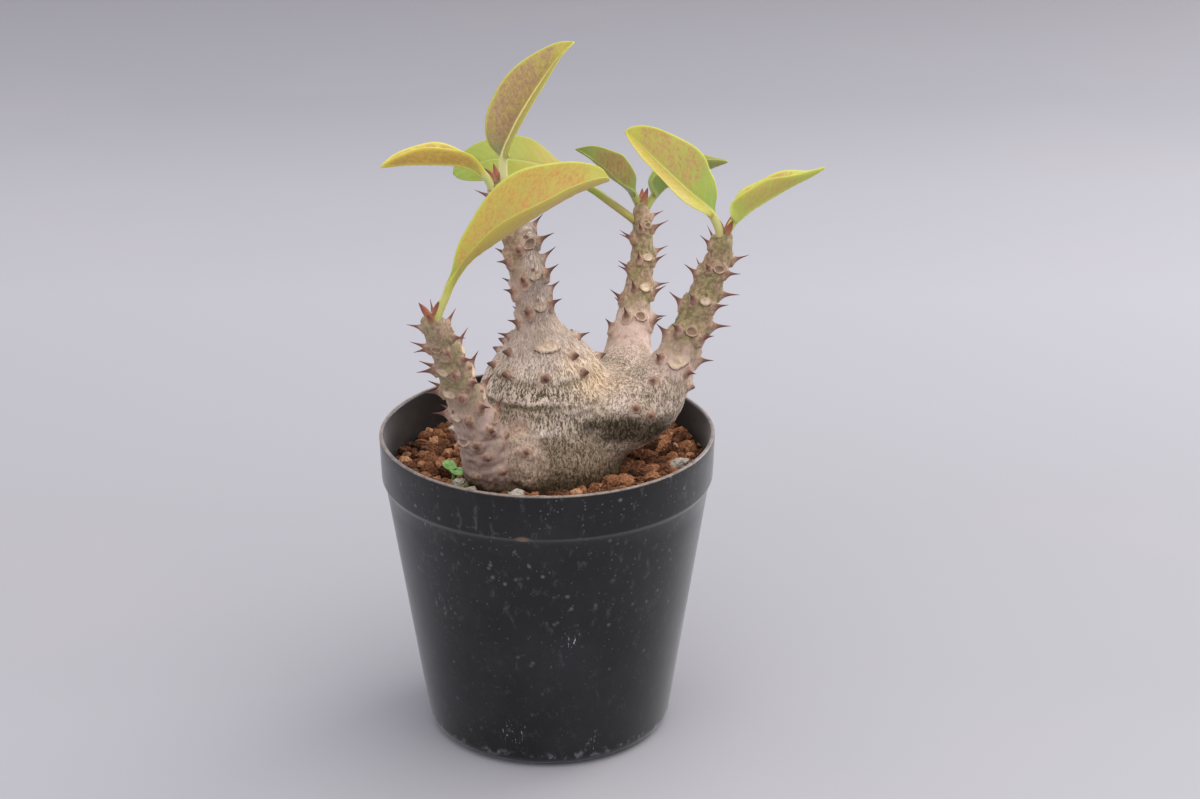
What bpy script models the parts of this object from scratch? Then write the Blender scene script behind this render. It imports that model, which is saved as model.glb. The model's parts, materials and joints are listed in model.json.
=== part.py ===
"""Potted pachypodium: a thorny, bulb-based succulent with four branches and eight leaves, in a plastic pot.

Metres, +Z up. The origin is the middle of the pot's underside, and the plant's front faces -Y.
"""
import math
import random

import bmesh
import bpy
import numpy as np
from mathutils import Matrix, Vector
from mathutils.bvhtree import BVHTree

MM = 0.001
COLLECTION = "potted_pachypodium"
MERGE = 0.00002

# Pot, in millimetres
POT_HEIGHT = 85.0
RIM_RADIUS = 45.0
BASE_RADIUS = 33.5
BASE_CORNER = 4.5
WALL = 1.3
BAND_HEIGHT = 12.7
BAND_STEP = 0.8
FLOOR = 1.5
CHANNEL_INNER = 13.0
CHANNEL_OUTER = 26.0
CHANNEL_DEPTH = 1.5
DRAIN_RING = 19.5
DRAIN_RADIUS = 3.5
DRAIN_COUNT = 6
POT_STEPS = 32

# Soil, in millimetres
SOIL_LEVEL = 74.0
SOIL_MOUND = 1.2
SOIL_TILT = 0.035
CLEARANCE = 0.3
STEM_CLEARANCE = 0.4
GRAIN_COUNT = 100
GRAIN_MIN = 2.1
GRAIN_MAX = 3.4
SOIL_SEED = 11

# Caudex body, in millimetres. A slice is height, middle x, middle y, half width, half depth.
BULB = (
    (53.0, 2.5, 0.0, 3.0, 3.0),
    (57.0, 2.5, 0.0, 9.0, 8.0),
    (63.0, 2.0, 0.0, 15.0, 14.0),
    (70.0, 1.5, 0.0, 19.0, 18.0),
    (78.0, 1.0, -0.5, 20.3, 19.0),
    (86.0, 0.4, -0.5, 19.2, 18.4),
    (93.0, 0.0, -0.8, 17.6, 17.0),
    (98.0, -0.1, -0.8, 17.4, 16.4),
    (103.0, -0.2, -0.9, 15.4, 14.6),
    (107.7, -0.2, -1.0, 12.0, 11.8),
    (112.0, -1.0, -1.0, 8.2, 8.2),
    (116.0, -2.0, -1.0, 5.6, 6.0),
)
# A route is rows of x, y, z, radius.
STEMS = {
    "middle": (
        (-1.4, -1.0, 108.0, 8.5), (-2.0, -1.0, 114.5, 5.9), (-3.6, -1.0, 122.0, 4.7),
        (-5.0, -1.0, 129.0, 4.7), (-6.7, -1.0, 137.4, 4.5), (-9.2, -1.0, 145.7, 4.1),
        (-11.4, -0.4, 152.6, 3.2), (-12.3, 0.0, 155.4, 2.1),
    ),
    "front": (
        (-8.5, -11.5, 73.0, 8.6), (-15.0, -16.6, 80.5, 7.0), (-16.4, -19.6, 89.5, 6.5),
        (-19.9, -24.2, 101.5, 5.1), (-22.9, -30.0, 113.0, 4.3), (-25.4, -36.0, 123.0, 3.7),
        (-27.2, -41.0, 130.6, 3.2), (-27.7, -42.4, 133.0, 2.1),
    ),
    "front_lobe": (
        (-4.2, -12.0, 73.0, 8.0), (-5.4, -16.6, 80.5, 6.4), (-6.4, -17.6, 86.5, 5.2),
        (-7.2, -17.4, 91.5, 2.8),
    ),
    "right": (
        (9.0, -3.0, 87.0, 11.5), (18.5, -3.2, 90.5, 11.0), (26.6, -3.2, 95.0, 9.8),
        (31.9, -3.0, 102.0, 7.2), (36.3, -2.2, 110.5, 5.0), (40.4, -1.0, 121.0, 4.2),
        (44.3, 0.0, 131.0, 3.6), (46.5, 0.0, 138.4, 2.9), (46.9, 0.0, 141.2, 2.0),
    ),
    "back": (
        (14.0, 6.0, 88.0, 11.5), (20.8, 14.0, 94.0, 8.8), (22.0, 22.0, 100.0, 6.4),
        (23.9, 30.0, 109.0, 4.4), (25.3, 35.0, 117.0, 3.5), (25.9, 39.0, 125.5, 3.1),
        (25.5, 41.6, 133.0, 2.6), (25.4, 42.4, 135.4, 1.9),
    ),
}
RIDGES = ((105.3, 0.7, 1.7), (99.3, 1.0, 1.5), (90.8, 0.9, 1.3))
RIDGE_REACH = 20.5
VOXEL = 1.1
BODY_SMOOTHING = 8
BODY_TRIANGLES = 2700

# Thorns, in millimetres. They stand in pairs beside the leaf scars, which wind up each branch.
THORN_LENGTH = 5.0
THORN_BASE = 1.65
THORN_ROOT = 1.3
THORN_SIDES = 3
SCAR_SPACING = 3.0
PAIR_ANGLE = math.radians(39.0)
LEAF_TURN = math.radians(122.0)
GOLDEN_ANGLE = math.radians(137.508)
# Where the thorns begin along each branch, as a share of its route, and the first scar's angle
THORN_RUNS = {
    "middle": (0.19, -0.10),
    "front": (0.34, 0.75),
    "right": (0.45, 1.45),
    "back": (0.40, -0.30),
}
# Rows of worn thorn stubs round the bulb: height, first angle and step in degrees, count, length
BULB_STUB_ROWS = ((104.0, -134.0, 47.0, 8, 2.5), (108.3, -148.0, 103.0, 4, 2.6), (110.8, 2.0, 89.0, 3, 3.8))
LOW_STUBS = (
    (-14.1, -25.5, 94.3), (-14.9, -26.5, 87.4), (-18.2, -23.5, 81.2), (-10.4, -24.0, 82.4),
    (-4.8, -23.0, 88.0), (-9.2, -22.0, 92.5), (-27.0, -20.5, 98.1), (28.0, -15.0, 94.6),
    (23.6, -16.0, 97.3), (38.5, -6.0, 99.5), (28.0, -12.0, 104.1),
)
STUB_LENGTH = 2.0
STUB_TURN = 4.0
STUB_RISE = 0.5
BULB_REACH = 19.0
THORN_SEED = 5

# Leaves, in millimetres. The blade starts at the share blade_from of the route, up is the upper face's
# direction at the blade's base and tip, fold and bow are in degrees.
PETIOLE_RADIUS = 1.05
BLADE_THICKNESS = 0.62
TIP_HALF_WIDTH = 0.15
MIDRIB = 0.55
SOCKET_REACH = 6.0
BLADE_RISE = 0.22
FOLD_START = -0.04
FOLD_END = 0.09
LEAF_STATIONS = 13
ACROSS = (-1.0, -0.62, -0.16, 0.0, 0.16, 0.62, 1.0)
LEAVES = {
    "leaf_front": dict(
        route=((-27.2, -41.4, 130.2), (-26.4, -42.0, 132.3), (-24.5, -42.5, 137.0), (-21.9, -43.0, 142.6),
               (-17.6, -43.5, 148.2), (-11.4, -44.0, 153.0), (-5.0, -44.0, 157.4), (1.6, -43.5, 161.4),
               (7.6, -42.5, 164.6), (12.4, -41.5, 166.4), (16.6, -40.0, 167.5)),
        blade_from=0.16, half_width=11.5, widest=0.58, ends=(1.35, 0.5), fold=38.0, bow=14.0,
        up=((-0.62, -0.35, 0.70), (-0.20, -0.42, 0.90)), wave=0.35, colour=(0.46, 0.44, 0.07)),
    "leaf_top_upright": dict(
        route=((-10.5, -0.4, 153.2), (-10.9, -0.6, 156.4), (-10.6, -1.0, 162.0), (-8.2, -1.5, 168.9),
               (-4.4, -1.2, 175.8), (0.3, -0.4, 183.0), (4.2, 0.6, 188.2), (7.6, 1.8, 191.0)),
        blade_from=0.19, half_width=9.1, widest=0.43, ends=(0.68, 0.8), fold=41.0, bow=6.0,
        up=((-0.44, -0.80, 0.40), (-0.50, -0.76, 0.42)), wave=0.15, colour=(0.33, 0.24, 0.12)),
    "leaf_top_left": dict(
        route=((-13.9, -1.0, 152.8), (-14.9, -1.6, 155.6), (-17.6, -3.2, 158.8), (-22.4, -5.2, 160.8),
               (-29.4, -7.0, 161.6), (-35.7, -8.0, 161.7), (-41.9, -8.0, 160.9)),
        blade_from=0.17, half_width=5.6, widest=0.50, ends=(0.9, 0.8), fold=48.0, bow=8.0,
        up=((0.10, 0.10, 1.0), (-0.10, 0.10, 1.0)), wave=0.2, colour=(0.45, 0.25, 0.07)),
    "leaf_back_left": dict(
        route=((24.8, 42.6, 134.4), (24.0, 41.9, 136.3), (22.6, 39.8, 139.2), (19.4, 36.9, 142.6),
               (16.0, 34.0, 146.0), (12.0, 31.0, 151.0), (7.7, 28.5, 154.6)),
        blade_from=0.16, half_width=6.5, widest=0.42, ends=(0.75, 0.9), fold=36.0, bow=8.0,
        up=((0.45, -0.60, 0.66), (0.30, -0.50, 0.80)), wave=0.25, colour=(0.20, 0.21, 0.07)),
    "leaf_back_right": dict(
        route=((26.6, 42.9, 132.2), (27.6, 43.5, 134.2), (29.2, 44.3, 136.4), (32.2, 45.2, 138.8),
               (38.0, 46.0, 141.4), (44.0, 46.4, 143.6), (49.3, 46.4, 145.6)),
        blade_from=0.18, half_width=7.3, widest=0.38, ends=(0.5, 0.9), fold=42.0, bow=8.0,
        up=((-0.45, 0.20, 0.85), (-0.30, 0.0, 0.95)), wave=0.25, colour=(0.22, 0.28, 0.07)),
    "leaf_back_long": dict(
        route=((23.6, 40.6, 130.4), (21.8, 39.8, 132.2), (17.2, 38.4, 136.2), (12.0, 37.0, 140.6),
               (4.7, 34.6, 145.6), (-4.7, 32.0, 149.6), (-15.5, 30.0, 150.9), (-25.4, 28.6, 147.4)),
        blade_from=0.31, half_width=9.2, widest=0.57, ends=(1.2, 0.5), fold=9.0, bow=-6.0,
        up=((0.30, -0.45, 0.84), (-0.30, -0.42, 0.86)), wave=0.5, colour=(0.40, 0.45, 0.06)),
    "leaf_right_large": dict(
        route=((45.4, -0.9, 140.0), (44.9, -1.6, 142.6), (43.0, -2.8, 146.6), (39.7, -4.5, 150.9),
               (36.0, -6.0, 154.6), (29.5, -7.5, 161.4), (24.4, -8.5, 166.9), (20.5, -9.0, 170.8)),
        blade_from=0.17, half_width=9.4, widest=0.46, ends=(0.8, 0.55), fold=26.0, bow=3.0,
        up=((0.66, -0.57, 0.49), (0.62, -0.66, 0.43)), wave=0.3, colour=(0.45, 0.42, 0.06)),
    "leaf_right_side": dict(
        route=((47.0, 0.7, 139.2), (47.8, 0.9, 141.0), (49.3, 1.1, 143.4), (53.0, 1.5, 146.2),
               (59.5, 3.0, 149.8), (64.2, 4.0, 152.2), (68.9, 5.0, 154.3), (72.8, 6.0, 156.4)),
        blade_from=0.15, half_width=6.4, widest=0.30, ends=(0.5, 1.05), fold=44.0, bow=8.0,
        up=((-0.48, 0.33, 0.81), (-0.42, -0.10, 0.90)), wave=0.3, colour=(0.42, 0.42, 0.06)),
}

# Weed seedling, in millimetres: the sprout's foot, and its two seed leaves
SPROUT_FOOT = (-24.9, -12.2, 74.4)
SPROUT_HEIGHT = 4.4
SPROUT_STEM = 0.45
SPROUT_LEAF_LENGTH = 4.6
SPROUT_LEAF_WIDTH = 1.7

POT_COLOUR = (0.012, 0.013, 0.016)
SOIL_COLOUR = (0.30, 0.13, 0.055)
BARK_COLOUR = (0.38, 0.31, 0.24)
SPROUT_COLOUR = (0.28, 0.42, 0.16)


def clear_scene():
    """Remove whatever the open file holds."""
    for obj in list(bpy.data.objects):
        bpy.data.objects.remove(obj, do_unlink=True)


def new_collection(name):
    """A collection in the scene, reused if it exists."""
    collection = bpy.data.collections.get(name)
    if collection is None:
        collection = bpy.data.collections.new(name)
    if name not in bpy.context.scene.collection.children:
        bpy.context.scene.collection.children.link(collection)
    return collection


def material(name, colour, roughness):
    """A plain Principled material."""
    mat = bpy.data.materials.new(name)
    mat.use_nodes = True
    shader = mat.node_tree.nodes["Principled BSDF"]
    shader.inputs["Base Color"].default_value = (*colour, 1.0)
    shader.inputs["Roughness"].default_value = roughness
    shader.inputs["Metallic"].default_value = 0.0
    mat.diffuse_color = (*colour, 1.0)
    return mat


def object_from_bmesh(name, bm, collection):
    """Put a finished bmesh into a new object, and free it."""
    bmesh.ops.recalc_face_normals(bm, faces=bm.faces)
    mesh = bpy.data.meshes.new(name)
    bm.to_mesh(mesh)
    bm.free()
    obj = bpy.data.objects.new(name, mesh)
    collection.objects.link(obj)
    return obj


def apply_modifiers(obj):
    """Replace an object's mesh by its evaluated one."""
    depsgraph = bpy.context.evaluated_depsgraph_get()
    mesh = bpy.data.meshes.new_from_object(obj.evaluated_get(depsgraph))
    obj.modifiers.clear()
    obj.data = mesh


def boolean_with(obj, operation, collection, solver="EXACT"):
    """Join or cut an object with all of a collection, then remove the collection's objects."""
    modifier = obj.modifiers.new("repeats", "BOOLEAN")
    modifier.operation = operation
    modifier.operand_type = "COLLECTION"
    modifier.collection = collection
    modifier.solver = solver
    apply_modifiers(obj)
    for tool in list(collection.objects):
        bpy.data.objects.remove(tool, do_unlink=True)


def keep_largest_piece(obj):
    """Split an object's faces into triangles and drop loose scraps, so that it is one body."""
    bm = bmesh.new()
    bm.from_mesh(obj.data)
    bmesh.ops.triangulate(bm, faces=bm.faces)
    unseen = set(bm.faces)
    pieces = []
    while unseen:
        stack = [unseen.pop()]
        piece = set(stack)
        while stack:
            for edge in stack.pop().edges:
                for face in edge.link_faces:
                    if face in unseen:
                        unseen.remove(face)
                        piece.add(face)
                        stack.append(face)
        pieces.append(piece)
    largest = max(pieces, key=len)
    scraps = [face for piece in pieces if piece is not largest for face in piece]
    bmesh.ops.delete(bm, geom=scraps, context="FACES")
    bm.to_mesh(obj.data)
    bm.free()


def smooth_route(rows, count):
    """Rows evenly spread along a smooth curve through the given rows (Catmull-Rom)."""
    rows = np.array(rows, dtype=float)
    ends = np.vstack([2 * rows[0] - rows[1], rows, 2 * rows[-1] - rows[-2]])
    fine = []
    for i in range(len(rows) - 1):
        p0, p1, p2, p3 = ends[i:i + 4]
        for t in np.linspace(0.0, 1.0, 24, endpoint=False):
            fine.append(0.5 * (2 * p1 + (p2 - p0) * t + (2 * p0 - 5 * p1 + 4 * p2 - p3) * t ** 2
                               + (3 * p1 - p0 - 3 * p2 + p3) * t ** 3))
    fine.append(rows[-1])
    fine = np.array(fine)
    steps = np.linalg.norm(np.diff(fine[:, :3], axis=0), axis=1)
    reach = np.concatenate([[0.0], np.cumsum(steps)])
    wanted = np.linspace(0.0, reach[-1], count)
    columns = [np.interp(wanted, reach, fine[:, i]) for i in range(fine.shape[1])]
    return np.stack(columns, axis=1)


def route_length(route):
    """Length of a sampled route."""
    return float(np.linalg.norm(np.diff(route[:, :3], axis=0), axis=1).sum())


def tangents(points):
    """Unit directions along a sampled route."""
    along = np.gradient(points[:, :3], axis=0)
    return along / np.linalg.norm(along, axis=1)[:, None]


def add_rings(bm, rings):
    """Join closed rings of points, in millimetres, into a tube with flat ends."""
    loops = [[bm.verts.new(Vector(point) * MM) for point in ring] for ring in rings]
    count = len(loops[0])
    for lower, upper in zip(loops, loops[1:]):
        for i in range(count):
            j = (i + 1) % count
            bm.faces.new((lower[i], lower[j], upper[j], upper[i]))
    bm.faces.new(list(reversed(loops[0])))
    bm.faces.new(loops[-1])


def stem_rings(route, sides):
    """Round rings square to a route of x, y, z, radius."""
    rings = []
    for row, along in zip(route, tangents(route)):
        side = np.cross(along, (0.0, 1.0, 0.0))
        side /= np.linalg.norm(side)
        other = np.cross(along, side)
        turn = np.linspace(0.0, 2 * math.pi, sides, endpoint=False)
        rings.append([row[:3] + row[3] * (math.cos(a) * side + math.sin(a) * other) for a in turn])
    return rings


def bulb_rings(sides):
    """Oval level rings of the swollen base."""
    rings = []
    for z, x, y, half_width, half_depth in smooth_route([(s[1], s[2], s[0], s[3], s[4]) for s in BULB],
                                                        30)[:, [2, 0, 1, 3, 4]]:
        turn = np.linspace(0.0, 2 * math.pi, sides, endpoint=False)
        rings.append([(x + half_width * math.cos(a), y + half_depth * math.sin(a), z) for a in turn])
    return rings


def ridge_height(z):
    """How far the wrinkles round the bulb stand out at a height."""
    return sum(height * math.exp(-((z - level) / spread) ** 2) for level, height, spread in RIDGES)


def make_body(collection):
    """The caudex without its thorns: bulb and branches grown together and smoothed, with wrinkles."""
    bm = bmesh.new()
    add_rings(bm, bulb_rings(40))
    for rows in STEMS.values():
        add_rings(bm, stem_rings(smooth_route(rows, 26), 20))
    obj = object_from_bmesh("caudex", bm, collection)
    remesh = obj.modifiers.new("grown_together", "REMESH")
    remesh.mode = "VOXEL"
    remesh.voxel_size = VOXEL * MM
    smooth = obj.modifiers.new("smooth", "SMOOTH")
    smooth.factor = 0.5
    smooth.iterations = BODY_SMOOTHING
    apply_modifiers(obj)
    raise_ridges(obj)
    obj.data.calc_loop_triangles()
    decimate = obj.modifiers.new("fewer_faces", "DECIMATE")
    decimate.ratio = BODY_TRIANGLES / len(obj.data.loop_triangles)
    decimate.use_collapse_triangulate = True
    apply_modifiers(obj)
    return obj


def raise_ridges(obj):
    """Push the bulb's skin out along its wrinkles."""
    axis = {round(s[0]): (s[1], s[2]) for s in BULB}
    heights = sorted(axis)
    for vert in obj.data.vertices:
        z = vert.co.z / MM
        middle_x = np.interp(z, heights, [axis[h][0] for h in heights])
        middle_y = np.interp(z, heights, [axis[h][1] for h in heights])
        away = math.hypot(vert.co.x / MM - middle_x, vert.co.y / MM - middle_y)
        if away < RIDGE_REACH:
            vert.co += vert.normal * ridge_height(z) * MM


def thorn_mesh(length, base):
    """A thorn along +Z with its root sunk below the origin: concave flanks and a needle tip."""
    bm = bmesh.new()
    slices = ((-THORN_ROOT, base), (0.0, base * 0.86), (0.34 * length, base * 0.30))
    loops = []
    for z, radius in slices:
        turn = [2 * math.pi * (i + 0.5) / THORN_SIDES for i in range(THORN_SIDES)]
        points = [Vector((radius * math.cos(a), radius * math.sin(a), z)) for a in turn]
        loops.append([bm.verts.new(point * MM) for point in points])
    tip = bm.verts.new(Vector((0.0, 0.10 * length, length)) * MM)
    for lower, upper in zip(loops, loops[1:]):
        for i in range(THORN_SIDES):
            j = (i + 1) % THORN_SIDES
            bm.faces.new((lower[i], lower[j], upper[j], upper[i]))
    for i in range(THORN_SIDES):
        bm.faces.new((loops[-1][i], loops[-1][(i + 1) % THORN_SIDES], tip))
    bm.faces.new(list(reversed(loops[0])))
    return bm


def add_thorn(collection, foot, direction, upward, length, base):
    """Place one thorn with its foot on the skin, bent towards upward."""
    direction = Vector(direction).normalized()
    upward = Vector(upward)
    bend = (upward - upward.dot(direction) * direction).normalized()
    side = bend.cross(direction)
    turned = Matrix((side, bend, direction)).transposed().to_4x4()
    obj = object_from_bmesh("thorn", thorn_mesh(length, base), collection)
    obj.matrix_world = Matrix.Translation(Vector(foot) * MM) @ turned
    return obj


def skin_point(tree, inside, direction):
    """The point of the body's skin that a ray from inside the body leaves by, in millimetres."""
    hit = tree.ray_cast(Vector(inside) * MM, Vector(direction).normalized())
    return None if hit[0] is None else hit[0] / MM


def branch_thorns(collection, tree, rng, rows, begin, first_angle):
    """Pairs of thorns beside leaf scars that wind up a branch, and bud scales round its tip."""
    route = smooth_route(rows, 160)
    along = tangents(route)
    length = route_length(route)
    scars = int((1.0 - begin) * length / SCAR_SPACING)
    for scar in range(scars):
        share = begin + (1.0 - begin) * (scar + 0.5) / (scars + 0.8)
        index = int(share * (len(route) - 1))
        axis = Vector(along[index])
        side = axis.cross(Vector((0.0, 1.0, 0.0))).normalized()
        other = axis.cross(side)
        for half in (-1.0, 1.0):
            angle = first_angle + scar * LEAF_TURN + half * PAIR_ANGLE
            out = math.cos(angle) * side + math.sin(angle) * other
            foot = skin_point(tree, route[index][:3], out)
            grown = 0.72 + 0.28 * min(1.0, scar / 4.0)
            size = THORN_LENGTH * grown * rng.uniform(0.85, 1.12)
            lift = rng.uniform(0.12, 0.42)
            base = min(THORN_BASE, 0.36 * route[index][3])
            add_thorn(collection, foot, out + lift * axis, axis, size, base)
    tip = Vector(route[-1][:3])
    top = Vector(along[-1])
    side = top.cross(Vector((0.0, 1.0, 0.0))).normalized()
    for i in range(3):
        angle = first_angle + 0.7 + i * 2 * math.pi / 3
        out = math.cos(angle) * side + math.sin(angle) * top.cross(side)
        add_thorn(collection, tip - top * 0.6 + out * 0.9, top + out * 0.35, out, THORN_LENGTH * 0.95, 0.9)


def bulb_stubs(collection, tree, rng):
    """Worn thorn stubs in rows on the bulb, and single ones low on the branches."""
    for z, first, step, count, length in BULB_STUB_ROWS:
        for i in range(count):
            angle = math.radians(first + i * step + rng.uniform(-STUB_TURN, STUB_TURN))
            out = Vector((math.cos(angle), math.sin(angle), 0.12))
            foot = skin_point(tree, (-1.0, -1.0, z + rng.uniform(-STUB_RISE, STUB_RISE)), out)
            if foot is not None and math.hypot(foot.x, foot.y) < BULB_REACH:
                add_thorn(collection, foot, out, (0.0, 0.0, 1.0), length, THORN_BASE)
    for point in LOW_STUBS:
        nearest, normal = tree.find_nearest(Vector(point) * MM)[:2]
        add_thorn(collection, nearest / MM, normal, (0.0, 0.0, 1.0), STUB_LENGTH, THORN_BASE * 0.9)


def leaf_outline(leaf, u):
    """Half width of the blade at u, as a share of its widest, for u from 0 at its base to 1 at its tip."""
    power = math.log(0.5) / math.log(leaf["widest"])
    rounding = leaf["ends"][0] + (leaf["ends"][1] - leaf["ends"][0]) * u
    return math.sin(math.pi * min(max(u, 0.0), 1.0) ** power) ** rounding if 0.0 < u < 1.0 else 0.0


def eased(value, start, end):
    """A share from 0 to 1 that rises gently while the value goes from start to end."""
    share = min(max((value - start) / (end - start), 0.0), 1.0)
    return share * share * (3.0 - 2.0 * share)


def leaf_rows(leaf, stations, across):
    """Points of a leaf's upper and lower faces, row by row from the petiole's foot to the blade's tip."""
    route = smooth_route(leaf["route"], stations)
    along = tangents(route)
    upper = []
    lower = []
    for i, (point, direction) in enumerate(zip(route, along)):
        share = i / (stations - 1)
        u = (share - leaf["blade_from"]) / (1.0 - leaf["blade_from"])
        blade = eased(u, 0.0, BLADE_RISE)
        toward_tip = max(u, 0.0)
        up = (1.0 - toward_tip) * np.array(leaf["up"][0]) + toward_tip * np.array(leaf["up"][1])
        side = np.cross(direction, up)
        side /= np.linalg.norm(side)
        normal = np.cross(side, direction)
        petiole = PETIOLE_RADIUS * (1.0 - 0.25 * share) * (1.0 - toward_tip)
        half = math.hypot(leaf["half_width"] * leaf_outline(leaf, u), petiole + TIP_HALF_WIDTH)
        fold = math.radians(leaf["fold"]) * eased(u, FOLD_START, FOLD_END)
        bow = math.radians(leaf["bow"]) * blade
        top_row = []
        bottom_row = []
        for v in across:
            angle = fold + bow * abs(v)
            ripple = leaf["wave"] * blade * v * v * math.sin(2 * math.pi * (2.3 * toward_tip + 0.2 * v))
            flat = np.array(point) + half * v * math.cos(angle) * side
            flat = flat + (half * abs(v) * math.sin(angle) + ripple) * normal
            round_part = PETIOLE_RADIUS * math.sqrt(max(1.0 - v * v, 0.05))
            rib = MIDRIB * max(0.0, 1.0 - abs(v) / 0.16) * (1.0 - 0.75 * toward_tip)
            thick = (1.0 - blade) * round_part + blade * BLADE_THICKNESS / 2
            top_row.append(flat + thick * normal)
            bottom_row.append(flat - (thick + blade * rib) * normal)
        upper.append(top_row)
        lower.append(bottom_row)
    return upper, lower


def add_sheet(bm, upper, lower):
    """A closed sheet between two grids of points, split into like triangles on both faces."""
    top = [[bm.verts.new(Vector(point) * MM) for point in row] for row in upper]
    bottom = [[bm.verts.new(Vector(point) * MM) for point in row] for row in lower]
    last = len(top[0]) - 1
    for i in range(len(top) - 1):
        for j in range(last):
            bm.faces.new((top[i][j], top[i][j + 1], top[i + 1][j + 1]))
            bm.faces.new((top[i][j], top[i + 1][j + 1], top[i + 1][j]))
            bm.faces.new((bottom[i][j], bottom[i + 1][j + 1], bottom[i][j + 1]))
            bm.faces.new((bottom[i][j], bottom[i + 1][j], bottom[i + 1][j + 1]))
        for j in (0, last):
            bm.faces.new((top[i][j], top[i + 1][j], bottom[i + 1][j], bottom[i][j]))
    for i in (0, len(top) - 1):
        for j in range(last):
            bm.faces.new((top[i][j], top[i][j + 1], bottom[i][j + 1], bottom[i][j]))


def make_leaf(name, leaf, collection):
    """One leaf: round petiole, then a blade folded up along its midrib."""
    bm = bmesh.new()
    upper, lower = leaf_rows(leaf, LEAF_STATIONS, ACROSS)
    add_sheet(bm, upper, lower)
    bmesh.ops.triangulate(bm, faces=[face for face in bm.faces if len(face.verts) > 3])
    obj = object_from_bmesh(name, bm, collection)
    obj.data.shade_smooth()
    obj.data.set_sharp_from_angle(angle=math.radians(50.0))
    obj.data.materials.append(material(name, leaf["colour"], 0.42))
    return obj


def add_socket(leaf, collection):
    """A cutter round the foot of a petiole, a clearance wider than it."""
    route = smooth_route(leaf["route"], 120)
    along = tangents(route)
    reach = np.linspace(0.0, route_length(route), len(route))
    rows = [np.append(route[0] - along[0] * CLEARANCE, PETIOLE_RADIUS + TIP_HALF_WIDTH + CLEARANCE)]
    for wanted in np.linspace(0.6, SOCKET_REACH, 6):
        point = route[int(np.searchsorted(reach, wanted))]
        rows.append(np.append(point, PETIOLE_RADIUS + TIP_HALF_WIDTH + CLEARANCE))
    bm = bmesh.new()
    add_rings(bm, stem_rings(np.array(rows), 10))
    object_from_bmesh("socket", bm, collection)


def make_caudex(collection, tools):
    """The caudex with its thorns and the sockets that the petioles stand in, and a plain copy of it."""
    body = make_body(collection)
    plain = body.data.copy()
    tree = BVHTree.FromPolygons([v.co for v in plain.vertices], [p.vertices for p in plain.polygons])
    rng = random.Random(THORN_SEED)
    for name, (begin, first_angle) in THORN_RUNS.items():
        branch_thorns(tools, tree, rng, STEMS[name], begin, first_angle)
    bulb_stubs(tools, tree, rng)
    boolean_with(body, "UNION", tools, "MANIFOLD")
    for leaf in LEAVES.values():
        add_socket(leaf, tools)
    boolean_with(body, "DIFFERENCE", tools, "MANIFOLD")
    keep_largest_piece(body)
    body.data.shade_smooth()
    body.data.set_sharp_from_angle(angle=math.radians(40.0))
    body.data.materials.append(material("caudex", BARK_COLOUR, 0.75))
    return body, plain


def wall_radius(z):
    """Outer radius of the pot at a height."""
    if z > POT_HEIGHT - BAND_HEIGHT:
        return RIM_RADIUS - 0.4 * (POT_HEIGHT - z) / BAND_HEIGHT
    top = RIM_RADIUS - 0.4 - BAND_STEP
    share = (POT_HEIGHT - BAND_HEIGHT - z) / (POT_HEIGHT - BAND_HEIGHT - BASE_CORNER)
    return top - (top - BASE_RADIUS) * min(max(share, 0.0), 1.0)


def inner_radius(z):
    """Inner radius of the pot at a height above its floor."""
    return wall_radius(z) - WALL


def turned(name, profile, collection, steps=POT_STEPS):
    """A body turned from a profile in millimetres that runs from axis to axis."""
    bm = bmesh.new()
    verts = [bm.verts.new((r * MM, 0.0, z * MM)) for r, z in profile]
    for first, second in zip(verts, verts[1:]):
        bm.edges.new((first, second))
    mesh = bpy.data.meshes.new(name)
    bm.to_mesh(mesh)
    bm.free()
    obj = bpy.data.objects.new(name, mesh)
    collection.objects.link(obj)
    screw = obj.modifiers.new("turned", "SCREW")
    screw.axis = "Z"
    screw.steps = steps
    screw.render_steps = steps
    screw.use_merge_vertices = True
    screw.merge_threshold = MERGE
    apply_modifiers(obj)
    return obj


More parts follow.
